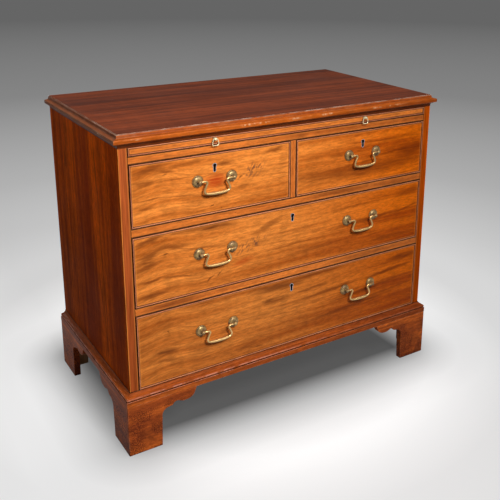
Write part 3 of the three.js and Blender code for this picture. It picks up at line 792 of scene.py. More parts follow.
# Bracket feet: each is two shaped brackets, mitred at the corner, with a glued block behind. Their curves
# are in shares of the reach and of the rise over the straight part
feet = dict(
    frontLeg=0.088,
    sideLeg=0.100,
    flare=0.0025,
    straight=0.088,
    reach=0.098,
    thickness=0.018,
    backLeg=0.086,
    backReach=0.060,
    blockSize=0.038,
    blockLift=0.004,
    softness=0.0012,
    mitre=0.00015,
    dark="#40180e",
    scuffed=(0.0, 0.11, 0.45, 0.0),
    scuffs=0.18,
    mottled=((34, 34, 26), 4, (0.35, 0.65), (0.0, 1.0), 0.65),
    crazed="#4c180e",
    crazing=(0.105, 0.135, 0.95, 0.05),
    cracks=(420, 2, (0.40, 0.62)),
    cracked=(16, 2, (0.34, 0.50)),
    brightness=1.40,
    curves=[
        (0, 0), (0.035, 0.300, 0.224, 0.323), (0.310, 0.335, 0.337, 0.458),
        (0.390, 0.535, 0.459, 0.510), (0.560, 0.375, 0.684, 0.402), (0.860, 0.400, 0.940, 0.680),
        (0.975, 0.820, 1.0, 1.0),
    ],
)


def bracketOutline(leg, height):
    rise = height - feet["straight"]
    reach = feet["reach"] - feet["flare"]
    inner = leg + feet["flare"]
    shaped = outlineOf(feet["curves"], 5)
    curve = [(inner + a * reach, feet["straight"] + b * rise) for a, b in shaped]
    return [(0, 0), (leg, 0)] + curve + [(0, height)]


def plainOutline(height):
    leg, straight = feet["backLeg"], feet["straight"]
    return [(0, 0), (leg, 0), (leg, straight), (leg + feet["backReach"], height), (0, height)]


# Darker towards the floor, and crazed old polish on the lower part
def footDress(place, colour):
    height = axisPart(place, "Z")
    low = plus(between(height, *feet["scuffed"]), feet["scuffs"])
    low = times(low, patches(place, *feet["mottled"]))
    colour = blend(low, brighten(colour, feet["brightness"]), tint(feet["dark"]))
    crazed = times(patches(place, *feet["cracks"]), patches(place, *feet["cracked"]))
    crazed = times(crazed, between(height, *feet["crazing"]))
    return blend(crazed, colour, tint(feet["crazed"]))


# One bracket from its corner, along one axis, cut to a mitre where the other meets it
def addBracket(bm, outline, corner, along, inward):
    thick = inward * feet["thickness"]
    one = bmesh.new()
    pullThrough(one, outline, [placeAt(corner, along, (0, 0, 1)), placeAt(corner + thick, along, (0, 0, 1))])
    normal = (along - inward).normalized()
    geometry = list(one.verts) + list(one.edges) + list(one.faces)
    cut = bmesh.ops.bisect_plane(
        one, geom=geometry, plane_co=corner + normal * feet["mitre"], plane_no=normal, clear_inner=True
    )["geom_cut"]
    bmesh.ops.contextual_create(one, geom=[piece for piece in cut if isinstance(piece, bmesh.types.BMEdge)])
    pour(bm, meshFrom(one, "bracket"))


def makeFoot(name, side, isFront):
    low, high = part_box("foot_" + name)
    height = high.z
    corner = Vector((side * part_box("base_moulding")[1].x, low.y if isFront else high.y, 0))
    along = Vector((-side, 0, 0))
    inward = Vector((0, 1 if isFront else -1, 0))
    bm = bmesh.new()
    faceOutline = bracketOutline(feet["frontLeg"], height) if isFront else plainOutline(height)
    addBracket(bm, faceOutline, corner, along, inward)
    count = len(bm.faces)
    addBracket(bm, bracketOutline(feet["sideLeg"], height), corner, inward, along)
    bm.faces.ensure_lookup_table()
    for flat in bm.faces[count:]:
        flat.material_index = 1
    materials = [
        woodMaterial(f"bracket {name}, {part}", "base", run, shift, dress=footDress)
        for part, run, shift in (
            ("face", "x", (0.2 * side, 0.3 * isFront, 0.5)),
            ("side", "y", (0.4, 0.3 * side, 0.2 * isFront)),
        )
    ]
    soft = feet["softness"]
    newPiece(f"bracket_foot_{name}", bm, materials, "carcass", ["foot_" + name], soft)
    start = corner + (along + inward) * (feet["thickness"] + clear)
    end = start + (along + inward) * feet["blockSize"]
    (left, right), (near, far) = sorted((start.x, end.x)), sorted((start.y, end.y))
    bm = bmesh.new()
    bar(bm, (left, near, feet["blockLift"]), (right, far, height - 2 * clear))
    newPiece(f"glue_block_{name}", bm, [pineUpright], "carcass", soft=2 * soft)


# Old wax and dirt fill the joints: a dark line along the edge of a piece, partly dirt and partly painted
# shadow, with a painted highlight beside it
seam = dict(
    dark="#2c0f06",
    wearAndHighlight="#ffa04c",
    strip=0.0060,
    strength=0.92,
    glow=0.30,
    # Shares of a seam's width: how far its edge wanders, and where it starts and stops to fade
    ragged=(90, 3),
    wander=(0.45, 0.22),
    fade=(0.45, 1.1),
)


def drawSeam(place, colour, away, width, strength=seam["strength"]):
    spread, offset = (share * width for share in seam["wander"])
    loose = times(cloud(place, *seam["ragged"]), spread)
    away = plus(away, minus(loose, offset))
    # A painted highlight beside the dark line
    beside = between(away, width, seam["strip"], seam["glow"], 0.0)
    colour = blend(beside, colour, tint(seam["wearAndHighlight"]))
    # The dark line itself: partly dirt, partly painted shadow
    dark = between(away, *(share * width for share in seam["fade"]), strength, 0.0)
    return blend(dark, colour, tint(seam["dark"]))


# Sides: their front edges show brighter wood, partly painted light, lighter upwards and with a painted
# highlight along the outer arris; their faces are painted darker downwards and towards the back, as shade
stile = dict(
    depth=0.0012,
    facing=(-0.6, -0.3, 1.0, 0.0),
    low="#a85024",
    bright="#bc5c2c",
    rise=(0.25, 0.75),
    arris="#e48a3c",
    arrisWidth=0.0022,
    outwards=(0.80, 1.06),
    streaks=((300, 300, 9), 3, (0.3, 0.65), (0.60, 1.16), 0.6),
    middle=(-0.1, 0.1),
    right="#ffdc58",
    rightGain=1.2,
    seam=(0.0022, 0.85),
    sideRise=(0.30, 0.80, 1.05, 1.77),
    sideDepth=(-0.10, 0.24, 1.0, 0.74),
)


def sideDress(place, colour):
    x, y, z = (axisPart(place, axis) for axis in "XYZ")
    facing = axisPart(addNode("TexCoord").outputs["Normal"], "Y")
    # The front-facing edge gets its own brighter colour: partly its own wood, partly painted light
    shown = between(y, face + stile["depth"], face + 2 * stile["depth"], 1.0, 0.0)
    shown = times(shown, between(facing, *stile["facing"]))
    # Painted light: the front edge gets lighter upwards
    strip = blend(between(z, *stile["rise"]), tint(stile["low"]), tint(stile["bright"]))
    outer, width = number("ABSOLUTE", x), stile["arrisWidth"]
    # Painted highlight, lighter towards and along the outer arris
    strip = brighten(strip, between(outer, inside, outside, *stile["outwards"]))
    corner = between(outer, outside - width, outside - 0.6 * width)
    strip = blend(corner, strip, tint(stile["arris"]))
    strip = brighten(strip, patches(place, *stile["streaks"]))
    strip = blend(between(x, *stile["middle"]), strip, tint(stile["right"]), "MULTIPLY")
    strip = brighten(strip, between(x, *stile["middle"], 1.0, stile["rightGain"]))
    strip = drawSeam(place, strip, minus(outer, inside), *stile["seam"])
    # Painted shade: the faces get darker downwards and towards the back
    colour = brighten(colour, between(z, *stile["sideRise"]))
    colour = brighten(colour, between(y, *stile["sideDepth"]))
    return blend(shown, colour, strip)


# Drawers: what differs between them, with the marks in the wood of each front. A mark has its kind, its
# middle across and up and half its length and height in millimetres, its lean in degrees and its strength
drawers = dict(
    short_left=dict(
        pulls=["short_left"], keyDrop=0.0312, tails=3, rows=2, tone=0.97,
        marks=[
            ("brown", -396, 720, 56, 11, 7, 0.85), ("brown", -406, 690, 42, 10.5, 4, 0.75),
            ("brown", -350, 711, 30, 6, -7, 0.7), ("dark", -354, 704, 10, 3.4, 20, 0.6),
            ("brown", -325, 688, 70, 3.2, 0, 0.55), ("brown", -300, 722, 70, 7, 4, 0.55),
            ("brown", -199, 708, 40, 8.3, 2, 0.85), ("russet", -223, 668, 38, 23, 6, 0.95),
            ("dark", -158, 666, 7, 3.9, 6, 0.8), ("brown", -148, 643, 30, 11.7, 4, 0.5),
            ("brown", -396, 649, 50, 3.4, 1, 0.8), ("brown", -317, 645, 57, 2.8, -5, 0.6),
            ("brown", -402, 629, 27, 5, 4, 0.65), ("dark", -233, 606, 13, 2.6, 27, 0.8),
            ("dark", -209, 597, 3, 2.2, 0, 0.95), ("brown", -58, 722, 42, 9.6, 5, 0.85),
            ("fleck", -118, 681, 42, 23, 30, 0.95),
        ],
    ),
    short_right=dict(
        pulls=["short_right"], keyDrop=0.0312, tails=3, rows=2, shift=0.6, tone=0.97,
        marks=[
            ("brown", 60, 632, 140, 20, 1, 0.47), ("brown", 250, 626, 260, 28, 2, 0.74),
            ("brown", 400, 660, 90, 34, 3, 0.74), ("brown", 340, 664, 110, 5, 2, 0.7),
            ("brown", 330, 703, 120, 6, 2, 0.54), ("brown", 200, 646, 150, 4.5, 4, 0.6),
            ("brown", 160, 676, 60, 3.6, 2, 0.5),
        ],
    ),
    long_upper=dict(
        pulls=["upper_left", "upper_right"], keyDrop=0.026, tails=4, rows=3, tone=0.91,
        marks=[
            ("brown", -395, 551, 56, 10.4, 16, 0.9), ("brown", -313, 557, 70, 10.6, -3, 0.8),
            ("brown", -222, 551, 78, 12.5, -2, 0.85), ("dark", -238, 550, 34, 4.5, 2, 0.5),
            ("brown", -403, 509, 45, 15, 24, 0.8), ("brown", -338, 521, 60, 9, -4, 0.7),
            ("brown", -404, 484, 48, 11.2, 16, 0.8), ("dark", -409, 494, 26, 4.3, 0, 0.5),
            ("dark", -361, 506, 9, 4, 0, 0.8), ("brown", -270, 503, 80, 5, -4, 0.45),
            ("brown", -397, 446, 40, 4.2, 6, 0.85), ("brown", -328, 442, 58, 4.2, -9, 0.75),
            ("brown", -390, 409, 60, 10.5, 5, 0.85), ("russet", -150, 440, 45, 12, 14, 0.6),
            ("dark", -240, 415, 14, 3.6, 46, 0.8), ("dark", -214, 424, 14, 2.8, 40, 0.7),
            ("fleck", -127, 482, 60, 19, 18, 0.95), ("brown", -74, 523, 62, 13, 20, 0.7),
            ("brown", 10, 456, 130, 4.6, 2, 0.6), ("brown", 80, 430, 120, 6, 2, 0.5),
            ("brown", 250, 477, 160, 7, 2, 0.75), ("brown", 210, 525, 120, 6, 2, 0.55),
            ("brown", 400, 486, 60, 5, 12, 0.7), ("brown", 330, 409, 140, 9.6, 0, 0.6),
            ("brown", 400, 535, 70, 16, 6, 0.6),
        ],
    ),
    long_lower=dict(
        pulls=["lower_left", "lower_right"], keyDrop=0.026, tails=4, rows=3, tone=0.78,
        marks=[
            ("brown", -364, 248, 46, 12, -1, 0.8), ("dark", -374, 249, 24, 4, -6, 0.4),
            ("brown", -370, 225, 46, 6.8, -3, 0.65), ("brown", -297, 268, 47, 3.6, -1, 0.5),
            ("brown", -389, 354, 54, 3.6, 10, 0.55), ("brown", -241, 357, 71, 3.8, 8, 0.55),
            ("dark", -359, 301, 3.6, 3.4, 0, 0.85), ("brown", -40, 341, 110, 13, -2, 0.85),
            ("brown", -53, 306, 56, 13.5, 0, 0.8), ("dark", -75, 309, 21, 8, -2, 0.4),
            ("dark", -107, 185, 27, 5.5, -3, 0.6), ("brown", -142, 195, 42, 10.5, 10, 0.5),
            ("brown", 60, 312, 90, 6.5, 3, 0.7), ("brown", 90, 352, 110, 8, 1, 0.7),
            ("brown", 140, 292, 120, 8, 4, 0.8), ("brown", 340, 302, 120, 8.5, 4, 0.85),
            ("brown", 260, 262, 170, 6.5, 4, 0.75), ("brown", 200, 222, 220, 8, 4, 0.75),
            ("brown", 390, 335, 80, 15, 4, 0.8), ("brown", 330, 240, 120, 5, 4, 0.65),
        ],
    ),
)
figure = dict(
    tints=dict(brown="#803e14", russet="#b84010", dark="#471c08", fleck="#7c4c32"),
    loosened=((26, 26, 90), 3, 0.6),
    ragged=(0.030, 0.0, 0.012),
    streaks=((12, 12, 300), 3, (0.26, 0.60), (0.60, 1.0), 0.6),
    fleckLean=62,
    flecks=((70, 70, 190), 3, (0.45, 0.60)),
    knot=(0.0, 0.10, -0.010, 0.0),
    knotAt=-0.362,
    turnAt=(-0.10, 0.42),
    # Partly the wood's own deeper colour, partly painted shade towards the right
    deepAndShaded="#f6ca48",
    lean=1.0,
)
railMarks = dict(
    rail_under_slide=[
        ("brown", 20, 748, 30, 10, 0, 0.55), ("brown", -300, 745, 120, 5, 0, 0.3),
    ],
    rail_mid=[
        ("brown", 150, 577, 130, 12, 0, 0.75), ("brown", 340, 572, 110, 10, 0, 0.45),
        ("brown", -300, 570, 90, 7, 0, 0.3), ("dark", -166, 577, 3, 2.2, 0, 0.8),
    ],
    rail_low=[
        ("brown", 250, 374, 160, 9, 0, 0.55), ("brown", -345, 375, 110, 12, 0, 0.85),
    ],
)
railTones = dict(muntin=1.14)
railSeams = dict(muntin=0.0028)
railSeam = 0.0040
drawerMake = dict(
    sideThickness=0.010,
    backThickness=0.010,
    backDrop=0.004,
    groove=0.004,
    lap=0.008,
    rootShare=0.33,
    tipShare=0.41,
    pinShare=0.40,
    flareShare=0.2,
    gap=0.0003,
    soft=0.0004,
)
cockbead = dict(width=0.0032, proud=0.0025, inset=0.0005, rebate=0.006, gap=clear, seam=(0.0016, 0.75))
keyhole = dict(head=0.0060, slot=0.0042, drop=0.0128, wall=0.0013, gap=0.0003, proud=0.0003)
lock = dict(
    width=0.060,
    height=0.056,
    depth=0.010,
    wall=0.003,
    bolt=0.032,
    # Across, and up from the case's foot or down from its top
    caseScrews=[(-0.025, 0.006), (-0.025, -0.008), (0.025, 0.006), (0.025, -0.008)],
    screw=0.0028,
    topScrews=(-0.024, 0.024),
    topScrew=0.0022,
    soft=0.0003,
)


def keyholeOutline(x, z, inset=0.0):
    head, slot = keyhole["head"] - inset, keyhole["slot"] - inset
    neck = degrees(asin(slot / head))
    return arc((x, z), head, -90 + neck, 270 - neck, 18) + arc((x, z - keyhole["drop"]), slot, 180, 360, 8)


# Outlines of the tails that join the sides to the front, in depth and height
def tailOutlines(front, low, top, count, grow=0.0):
    pitch = (top - low) / count
    root, tip = (drawerMake[part] * pitch + grow for part in ("rootShare", "tipShare"))
    end = face + drawerMake["lap"] - grow
    middles = [low + (i + 0.5) * pitch for i in range(count)]
    return [[(front, z - root), (end, z - tip), (end, z + tip), (front, z + root)] for z in middles]


# An outline that tapers inwards from the wood's edge, carried past that edge
def opened(outline, over):
    edge = outline[0][0] + over
    return [(edge, outline[0][1])] + outline + [(edge, outline[-1][1])]


# Marks laid over a colour, loosened and broken into streaks
def layMarks(place, colour, marks):
    loose = vector("SUBTRACT", cloud(place, *figure["loosened"], colour=True), (0.5, 0.5, 0.5))
    loose = vector("ADD", place, vector("MULTIPLY", loose, figure["ragged"]))
    streaks = patches(place, *figure["streaks"])
    slanting = {"Vector": place, "Rotation": (0, radians(figure["fleckLean"]), 0)}
    slanted = addNode("Mapping", slanting).outputs[0]
    broken = patches(slanted, *figure["flecks"])
    for kind, x, z, length, height, lean, strength in marks:
        given = {"Vector": loose, "Lean": radians(lean), "Strength": strength}
        given.update({"Centre": (x / 1000, 0, z / 1000), "Size": (length / 1000, 1, height / 1000)})
        mask = useGroup(patch, given)["Mask"]
        shown = times(mask, broken if kind == "fleck" else streaks)
        colour = blend(shown, colour, tint(figure["tints"][kind]))
    return colour


# A rail or the muntin: its marks, and the dark lines along both of its edges, partly dirt in the joints and
# partly painted shadow
def railDress(name, axis):
    low, high = (corner["XYZ".index(axis)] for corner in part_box(name))

    def dress(place, colour):
        colour = brighten(colour, railTones.get(name, 1.0))
        colour = layMarks(place, colour, railMarks.get(name, []))
        away = distanceFrom(axisPart(place, axis), (low + high) / 2)
        away = minus((high - low) / 2, away)
        # Dark lines along both edges: partly dirt, partly painted shadow of the beads and gaps
        return drawSeam(place, colour, away, railSeams.get(name, railSeam))

    return dress


# A dark line where a board meets its bead: partly dirt, partly painted shade at the foot of the bead
def drawEdge(place, colour, middle, half, bead):
    ends = minus(half.x, distanceFrom(axisPart(place, "X"), middle.x))
    edges = minus(half.z, distanceFrom(axisPart(place, "Z"), middle.z))
    away = minus(number("MINIMUM", ends, edges), bead["width"])
    return drawSeam(place, colour, away, *bead["seam"])


# Grain arches over the knot that the left of each front has, and the wood deepens towards the right, partly
# its own colour and partly painted shade
def archGrain(place, along):
    away = distanceFrom(axisPart(place, "X"), figure["knotAt"])
    lift = addNode("CombineXYZ", {"Z": between(away, *figure["knot"])}).outputs[0]
    return vector("ADD", along, lift)


def frontMaterial(name, plan, middle, half):
    def dress(place, colour):
        colour = layMarks(place, colour, plan["marks"])
        # Deeper towards the right: partly the wood's own colour, partly painted shade
        deepenedAndShaded = between(axisPart(place, "X"), *figure["turnAt"])
        colour = blend(deepenedAndShaded, colour, tint(figure["deepAndShaded"]), "MULTIPLY")
        return drawEdge(place, brighten(colour, plan["tone"]), middle, half, cockbead)

    shift = (plan.get("shift", 0.0), 0, -middle.z)
    return woodMaterial(f"figured front {name}", "front", "x", shift, figure["lean"], dress, archGrain)


# A board whose front edge is rebated all round for a bead
def rebatedBoard(bm, middle, half, behind, bead):
    shoulder = face + bead["rebate"]
    stations = [(behind, 0), (shoulder, 0), (shoulder, bead["width"]), (face, bead["width"])]
    places = [placeAt((middle.x, y, middle.z), (half.x - i, 0, 0), (0, 0, half.z - i)) for y, i in stations]
    pullThrough(bm, square, places)


# The bead itself, mitred at the corners; its uprights may have a material of their own
def addBead(bm, middle, half, bead, upright):
    count = len(bm.faces)
    corners = [(middle.x + a * half.x, middle.z + b * half.z, a, b) for a, b in square + square[:1]]
    ring = [placeAt((x, face, z), (-a, 0, -b), (0, -1, 0)) for x, z, a, b in corners]
    width, inset, foot = bead["width"] - clear, bead["inset"], bead["gap"] - bead["rebate"]
    radius = (width - inset) / 2
    crown = arc((inset + radius, bead["proud"] - radius), radius, 0, 180, 8)
    pullThrough(bm, [(inset, foot), (width, foot)] + crown, ring, ring=True)
    bm.faces.ensure_lookup_table()
    for flat in bm.faces[count:]:
        centre = flat.calc_center_median() - middle
        isAcross = half.z - abs(centre.z) < half.x - abs(centre.x)
        flat.material_index = 1 if isAcross else upright


def makeDrawerFront(name, plan):
    low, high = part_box(f"drawer_{name}_front")
    middle, half = (low + high) / 2, (high - low) / 2
    board, tools = bmesh.new(), bmesh.new()
    rebatedBoard(board, middle, half, high.y, cockbead)
    outline = keyholeOutline(middle.x, high.z - plan["keyDrop"])
    pullThrough(tools, outline, alongY(face - past, high.y + past))
    reach = Vector((lock["width"] / 2, lock["depth"], lock["height"]))
    start = (middle.x - reach.x, high.y - reach.y, high.z - reach.z)
    bar(tools, start, (middle.x + reach.x, high.y + past, high.z + past))
    inner = half.x - drawerMake["sideThickness"] - drawerMake["gap"]
    top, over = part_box(f"drawer_{name}_box")[1].z, past / 2
    for tail in tailOutlines(high.y, low.z, top, plan["tails"], drawerMake["gap"]):
        for side in (-1, 1):
            ends = alongX(middle.x + side * inner, middle.x + side * (half.x + over))
            pullThrough(tools, opened(tail, over), ends)
    board = carve(board, tools)
    addBead(board, middle, half, cockbead, 2)
    materials = [frontMaterial(name, plan, middle, half), beadAcross, beadUpright]
    nodes = [f"drawer_{name}_front"]
    newPiece(f"{name}_front_board", board, materials, "drawer_" + name, nodes, smooth=28)


def makeDrawerBox(name, plan):
    low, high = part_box(f"drawer_{name}_box")
    bottomLow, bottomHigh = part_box(f"drawer_{name}_bottom")
    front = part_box(f"drawer_{name}_front")[1].y
    body = "drawer_" + name
    thick, soft = drawerMake["sideThickness"], drawerMake["soft"]
    backFront = high.y - drawerMake["backThickness"]
    backLow, backTop = bottomHigh.z, high.z - drawerMake["backDrop"]
    count = plan["tails"]
    pitch = (high.z - low.z) / count
    pin = (1 - 2 * drawerMake["pinShare"]) * pitch / 2
    flare = drawerMake["flareShare"] * drawerMake["backThickness"]
    pins = []
    for i in range(count + 1):
        z = low.z + i * pitch
        bottom = max(z - pin, backLow) if i else backLow
        top = min(z + pin, backTop) if i < count else backTop
        if top - bottom > pin:
            pins.append((bottom, top))
    outline = [(front, low.z), (high.y, low.z), (high.y, high.z), (front, high.z)]
    for tail in reversed(tailOutlines(front, low.z, high.z, count)):
        outline += reversed(tail)
    for side, label, outer in ((-1, "left", low.x), (1, "right", high.x)):
        inner = outer - side * thick
        bm, tools = bmesh.new(), bmesh.new()
        pullThrough(bm, outline, alongX(outer, inner))
        ends = sorted((inner + side * drawerMake["groove"], inner - side * past))
        bar(tools, (ends[0], front, bottomLow.z), (ends[1], high.y + past, bottomHigh.z))
        for bottom, top in pins:
            notch = [(high.y, bottom), (backFront, bottom - flare), (backFront, top + flare), (high.y, top)]
            pullThrough(tools, opened(notch, past), alongX(outer + side * past, inner - side * past))
        bm = carve(bm, tools)
        piece = newPiece(f"{name}_drawer_{label}_side", bm, [oakDeep], body, soft=soft)
        if side < 0:
            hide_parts(f"drawer_{name}_box")
    bm = bmesh.new()
    bar(bm, (low.x + thick + clear, backFront, backLow), (high.x - thick - clear, high.y, backTop))
    for bottom, top in pins:
        tip = max(bottom - flare, backLow) + clear, min(top + flare, backTop) - clear
        shape = [(high.y, bottom + clear), (backFront, tip[0]), (backFront, tip[1]), (high.y, top - clear)]
        for outer, inner in ((low.x, low.x + thick + clear), (high.x, high.x - thick - clear)):
            pullThrough(bm, shape, alongX(outer, inner))
    newPiece(f"{name}_drawer_back", bm, [oakAcross], body)
    bm = bmesh.new()
    planks(bm, bottomLow, bottomHigh, plan["rows"], 1)
    nodes = [f"drawer_{name}_bottom"]
    newPiece(f"{name}_drawer_bottom_boards", bm, [oakWide], body, nodes, soft)


# A domed screw head with its slot: shares of its radius and of how far it stands up, then depths
screwHead = dict(flat=0.6, crown=0.95, slotLength=1.1, slotWidth=0.12, sunk=0.001, slot=(0.001, -0.0005))


def addScrew(bm, tools, centre, axis, radius, stand=0.0003):
    axis = Vector(axis)
    sunk, shoulder = screwHead["sunk"], (radius * screwHead["flat"], stand * screwHead["crown"])
    turn(bm, [(0, stand), shoulder, (radius, 0), (radius, -sunk), (0, -sunk)], centre, axis, 20)
    along = axis.orthogonal().normalized()
    across = axis.cross(along) * radius * screwHead["slotWidth"]
    slot = placeAt(Vector(centre) + axis * stand, along * radius * screwHead["slotLength"], across)
    places = [Matrix.Translation(axis * depth) @ slot for depth in screwHead["slot"]]
    pullThrough(tools, square, places)


def makeLock(name, plan):
    low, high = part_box(f"lock_{name}_case")
    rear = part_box(f"drawer_{name}_front")[1].y
    middle, front = (low.x + high.x) / 2, rear - lock["depth"]
    key = (middle, high.z - plan["keyDrop"])
    halfBolt, wall = lock["bolt"] / 2, lock["wall"]
    body = "drawer_" + name
    bm, tools = bmesh.new(), bmesh.new()
    bar(bm, (low.x + clear, front + clear, low.z + clear), (high.x - clear, rear, high.z))
    start = (middle - halfBolt, front + wall, low.z + wall)
    bar(tools, start, (middle + halfBolt, rear - wall, high.z + past))
    outer, inner = (keyholeOutline(*key, keyhole[inset]) for inset in ("gap", "wall"))
    pullThrough(tools, outer, alongY(front - past, rear - wall - clear))
    bm = carve(bm, tools)
    newPiece(f"{name}_lock_case", bm, [steel], body, [f"lock_{name}_case"], lock["soft"])
    bm = bmesh.new()
    near, far, loops = face - keyhole["proud"], front + wall, []
    for points, y in ((outer, far), (outer, near), (inner, near), (inner, far)):
        verts = [bm.verts.new((x, y, z)) for x, z in points]
        loops.append([bm.edges.new(pair) for pair in zip(verts, verts[1:] + verts[:1])])
    for one, other in zip(loops, loops[1:] + loops[:1]):
        bmesh.ops.bridge_loops(bm, edges=one + other)
    bmesh.ops.recalc_face_normals(bm, faces=bm.faces)
    for flat in bm.faces:
        # The liner's inner wall gets a near-black material, painted shade inside the hole
        flat.material_index = 0 if abs(flat.normal.y) > 0.5 else 1
    newPiece(f"{name}_keyhole_liner", bm, [liner, shadedHollow], body, smooth=35)
    screws, slots = bmesh.new(), bmesh.new()
    for x, z in lock["caseScrews"]:
        height = z + (low.z if z > 0 else high.z)
        addScrew(screws, slots, (middle + x, rear, height), (0, 1, 0), lock["screw"])
    for x in lock["topScrews"]:
        place = (middle + x, rear - lock["depth"] / 2, high.z)
        addScrew(screws, slots, place, (0, 0, 1), lock["topScrew"], 0.0002)
    newPiece(f"{name}_lock_screws", carve(screws, slots), [iron], body, smooth=35)


# Swan-neck handles: the bail's path is in shares of half its spacing and of its drop, and its thickness in
# shares between thin and bar
handle = dict(
    rosette=0.0145,
    rim=0.0012,
    rimBead=0.0009,
    rimLift=0.0002,
    rise=0.0064,
    domeEnd=78,
    neck=0.0034,
    fillet=(0.0005, 0.0010),
    eye=0.0050,
    eyeEnd=138,
    stand=0.013,
    pin=0.0020,
    pinGap=0.0004,
    bar=0.0042,
    thin=0.0028,
    drop=0.033,
    entry=0.0035,
    nut=0.007,
    nutThickness=0.004,
    nutRound=0.001,
    tip=0.003,
    chamfer=(0.0006, 0.0005),
    shank=0.0025,
    sunk=0.0005,
    path=[
        (0.725, 0.012), (0.635, -0.010), (0.583, -0.100), (0.640, -0.290), (0.705, -0.500),
        (0.742, -0.690), (0.710, -0.835), (0.630, -0.915), (0.460, -0.965), (0.240, -0.990),
        (0.0, -0.992),
    ],
    thickness=[0.0, 0.0, 0.02, 0.06, 0.10, 0.14, 0.18, 0.26, 0.50, 0.84, 1.0],
)


# A ball on its stand: radius and distance, round to where its neck begins
def ballProfile(radius, stand, end, step):
    return [(radius * sin(a), stand + radius * cos(a)) for a in (radians(t) for t in range(0, end, step))]


def rosetteProfile():
    neck, edge, rim, bead = (handle[part] for part in ("neck", "rosette", "rim", "rimBead"))
    profile = ballProfile(handle["eye"], handle["stand"], handle["eyeEnd"], 8)
    wider, higher = handle["fillet"]
    profile += [(neck, handle["rise"] + higher), (neck + wider, handle["rise"])]
    spread = (edge - 2 * bead - neck) / sin(radians(handle["domeEnd"]))
    for angle in (radians(t) for t in range(12, handle["domeEnd"] + 1, 6)):
        profile.append((neck + spread * sin(angle), rim + (handle["rise"] - rim) * cos(angle)))
    profile += arc((edge - bead, rim + handle["rimLift"]), bead, 150, 0, 5)
    return profile + [(edge, 0.0), (0.0, 0.0)]


def makeHandle(name, body):
    centres = [atFront(f"handle_{name}_post_{side}") for side in "lr"]
    raised = Vector((0, -handle["stand"], 0))
    for centre, label in zip(centres, "lr"):
        bm, tools = bmesh.new(), bmesh.new()
        turn(bm, rosetteProfile(), centre)
        drill(tools, centre + raised, handle["pin"] + handle["pinGap"], past, 24)
        bm, nodes = carve(bm, tools), [f"handle_{name}_post_{label}"]
        newPiece(f"{name}_rosette_{label}", bm, [rosetteBrass], body, nodes, smooth=32)
    nuts = bmesh.new()
    shank, nut, thick, corner = (handle[part] for part in ("shank", "nut", "nutThickness", "nutRound"))
    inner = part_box("drawer_short_left_front")[1].y - face
    tip = inner + thick + handle["tip"]
    sunk, (narrower, shorter) = handle["sunk"], handle["chamfer"]
    rod = [(0, -sunk), (shank, -sunk), (shank, shorter - tip), (shank - narrower, -tip), (0, -tip)]
    dome = [(nut, 0), (nut, 0.7 * thick), (nut - corner, thick), (shank, thick), (shank, 0)]
    dome = [(shank, -inner)] + [(radius, -inner - stand) for radius, stand in dome]
    for centre in centres:
        turn(nuts, rod, centre, (0, -1, 0), 20)
        turn(nuts, dome, centre, (0, -1, 0), 28)
    newPiece(f"{name}_handle_nuts", nuts, [dullBrass], body, smooth=32)
    half, drop = (centres[1].x - centres[0].x) / 2, handle["drop"]
    path = [(half - handle["eye"] + handle["entry"], 0.0)]
    path += [(a * half, b * drop) for a, b in handle["path"]]
    thin, thickest = handle["thin"], handle["bar"]
    sizes = [handle["pin"]] + [thin + (thickest - thin) * share for share in handle["thickness"]]
    bm = bmesh.new()
    pivot = (centres[0] + centres[1]) / 2 + raised
    addRod(bm, pivot, mirrored(path), sizes + sizes[-2::-1], 6, 4)
    nodes = [f"handle_{name}_bail"]
    newPiece(f"{name}_swan_neck", bm, [brass], "bail_" + name, nodes, smooth=50)


# Brushing slide with its knobs and rings: a ring's path is in shares of half its width and of its drop
slide = dict(
    bead=dict(width=0.0026, proud=0.0020, inset=0.0, rebate=0.004, gap=0.0, seam=(0.0018, 0.80)),
    tone=0.94,
    knob=0.0042,
    knobEnd=146,
    neck=0.0022,
    fillet=(0.0006, 0.0015, 0.0003),
    collar=0.0025,
    collarThickness=0.0012,
    collarRound=0.0005,
    stand=0.0075,
    shank=0.0018,
    shankLength=0.018,
    wire=0.0012,
    boreGap=0.0004,
    pinGap=0.0016,
    halfWidth=0.0083,
    drop=0.0155,
    path=[
        (0.53, 0), (0.67, -0.07), (0.82, -0.32), (0.99, -0.64), (0.96, -0.86), (0.74, -0.985),
        (0.36, -1.01), (0.0, -1.01),
    ],
)


def knobProfile():
    neck, collar, thick = slide["neck"], slide["collar"], slide["collarThickness"]
    shank, end, soft = slide["shank"], -slide["shankLength"], slide["collarRound"]
    wider, upper, lower = slide["fillet"]
    profile = ballProfile(slide["knob"], slide["stand"], slide["knobEnd"], 9)
    profile += [(neck, thick + upper), (neck + wider, thick + lower), (collar - soft, thick)]
    return profile + [(collar, thick - soft), (collar, 0), (shank, 0), (shank, end), (0, end)]


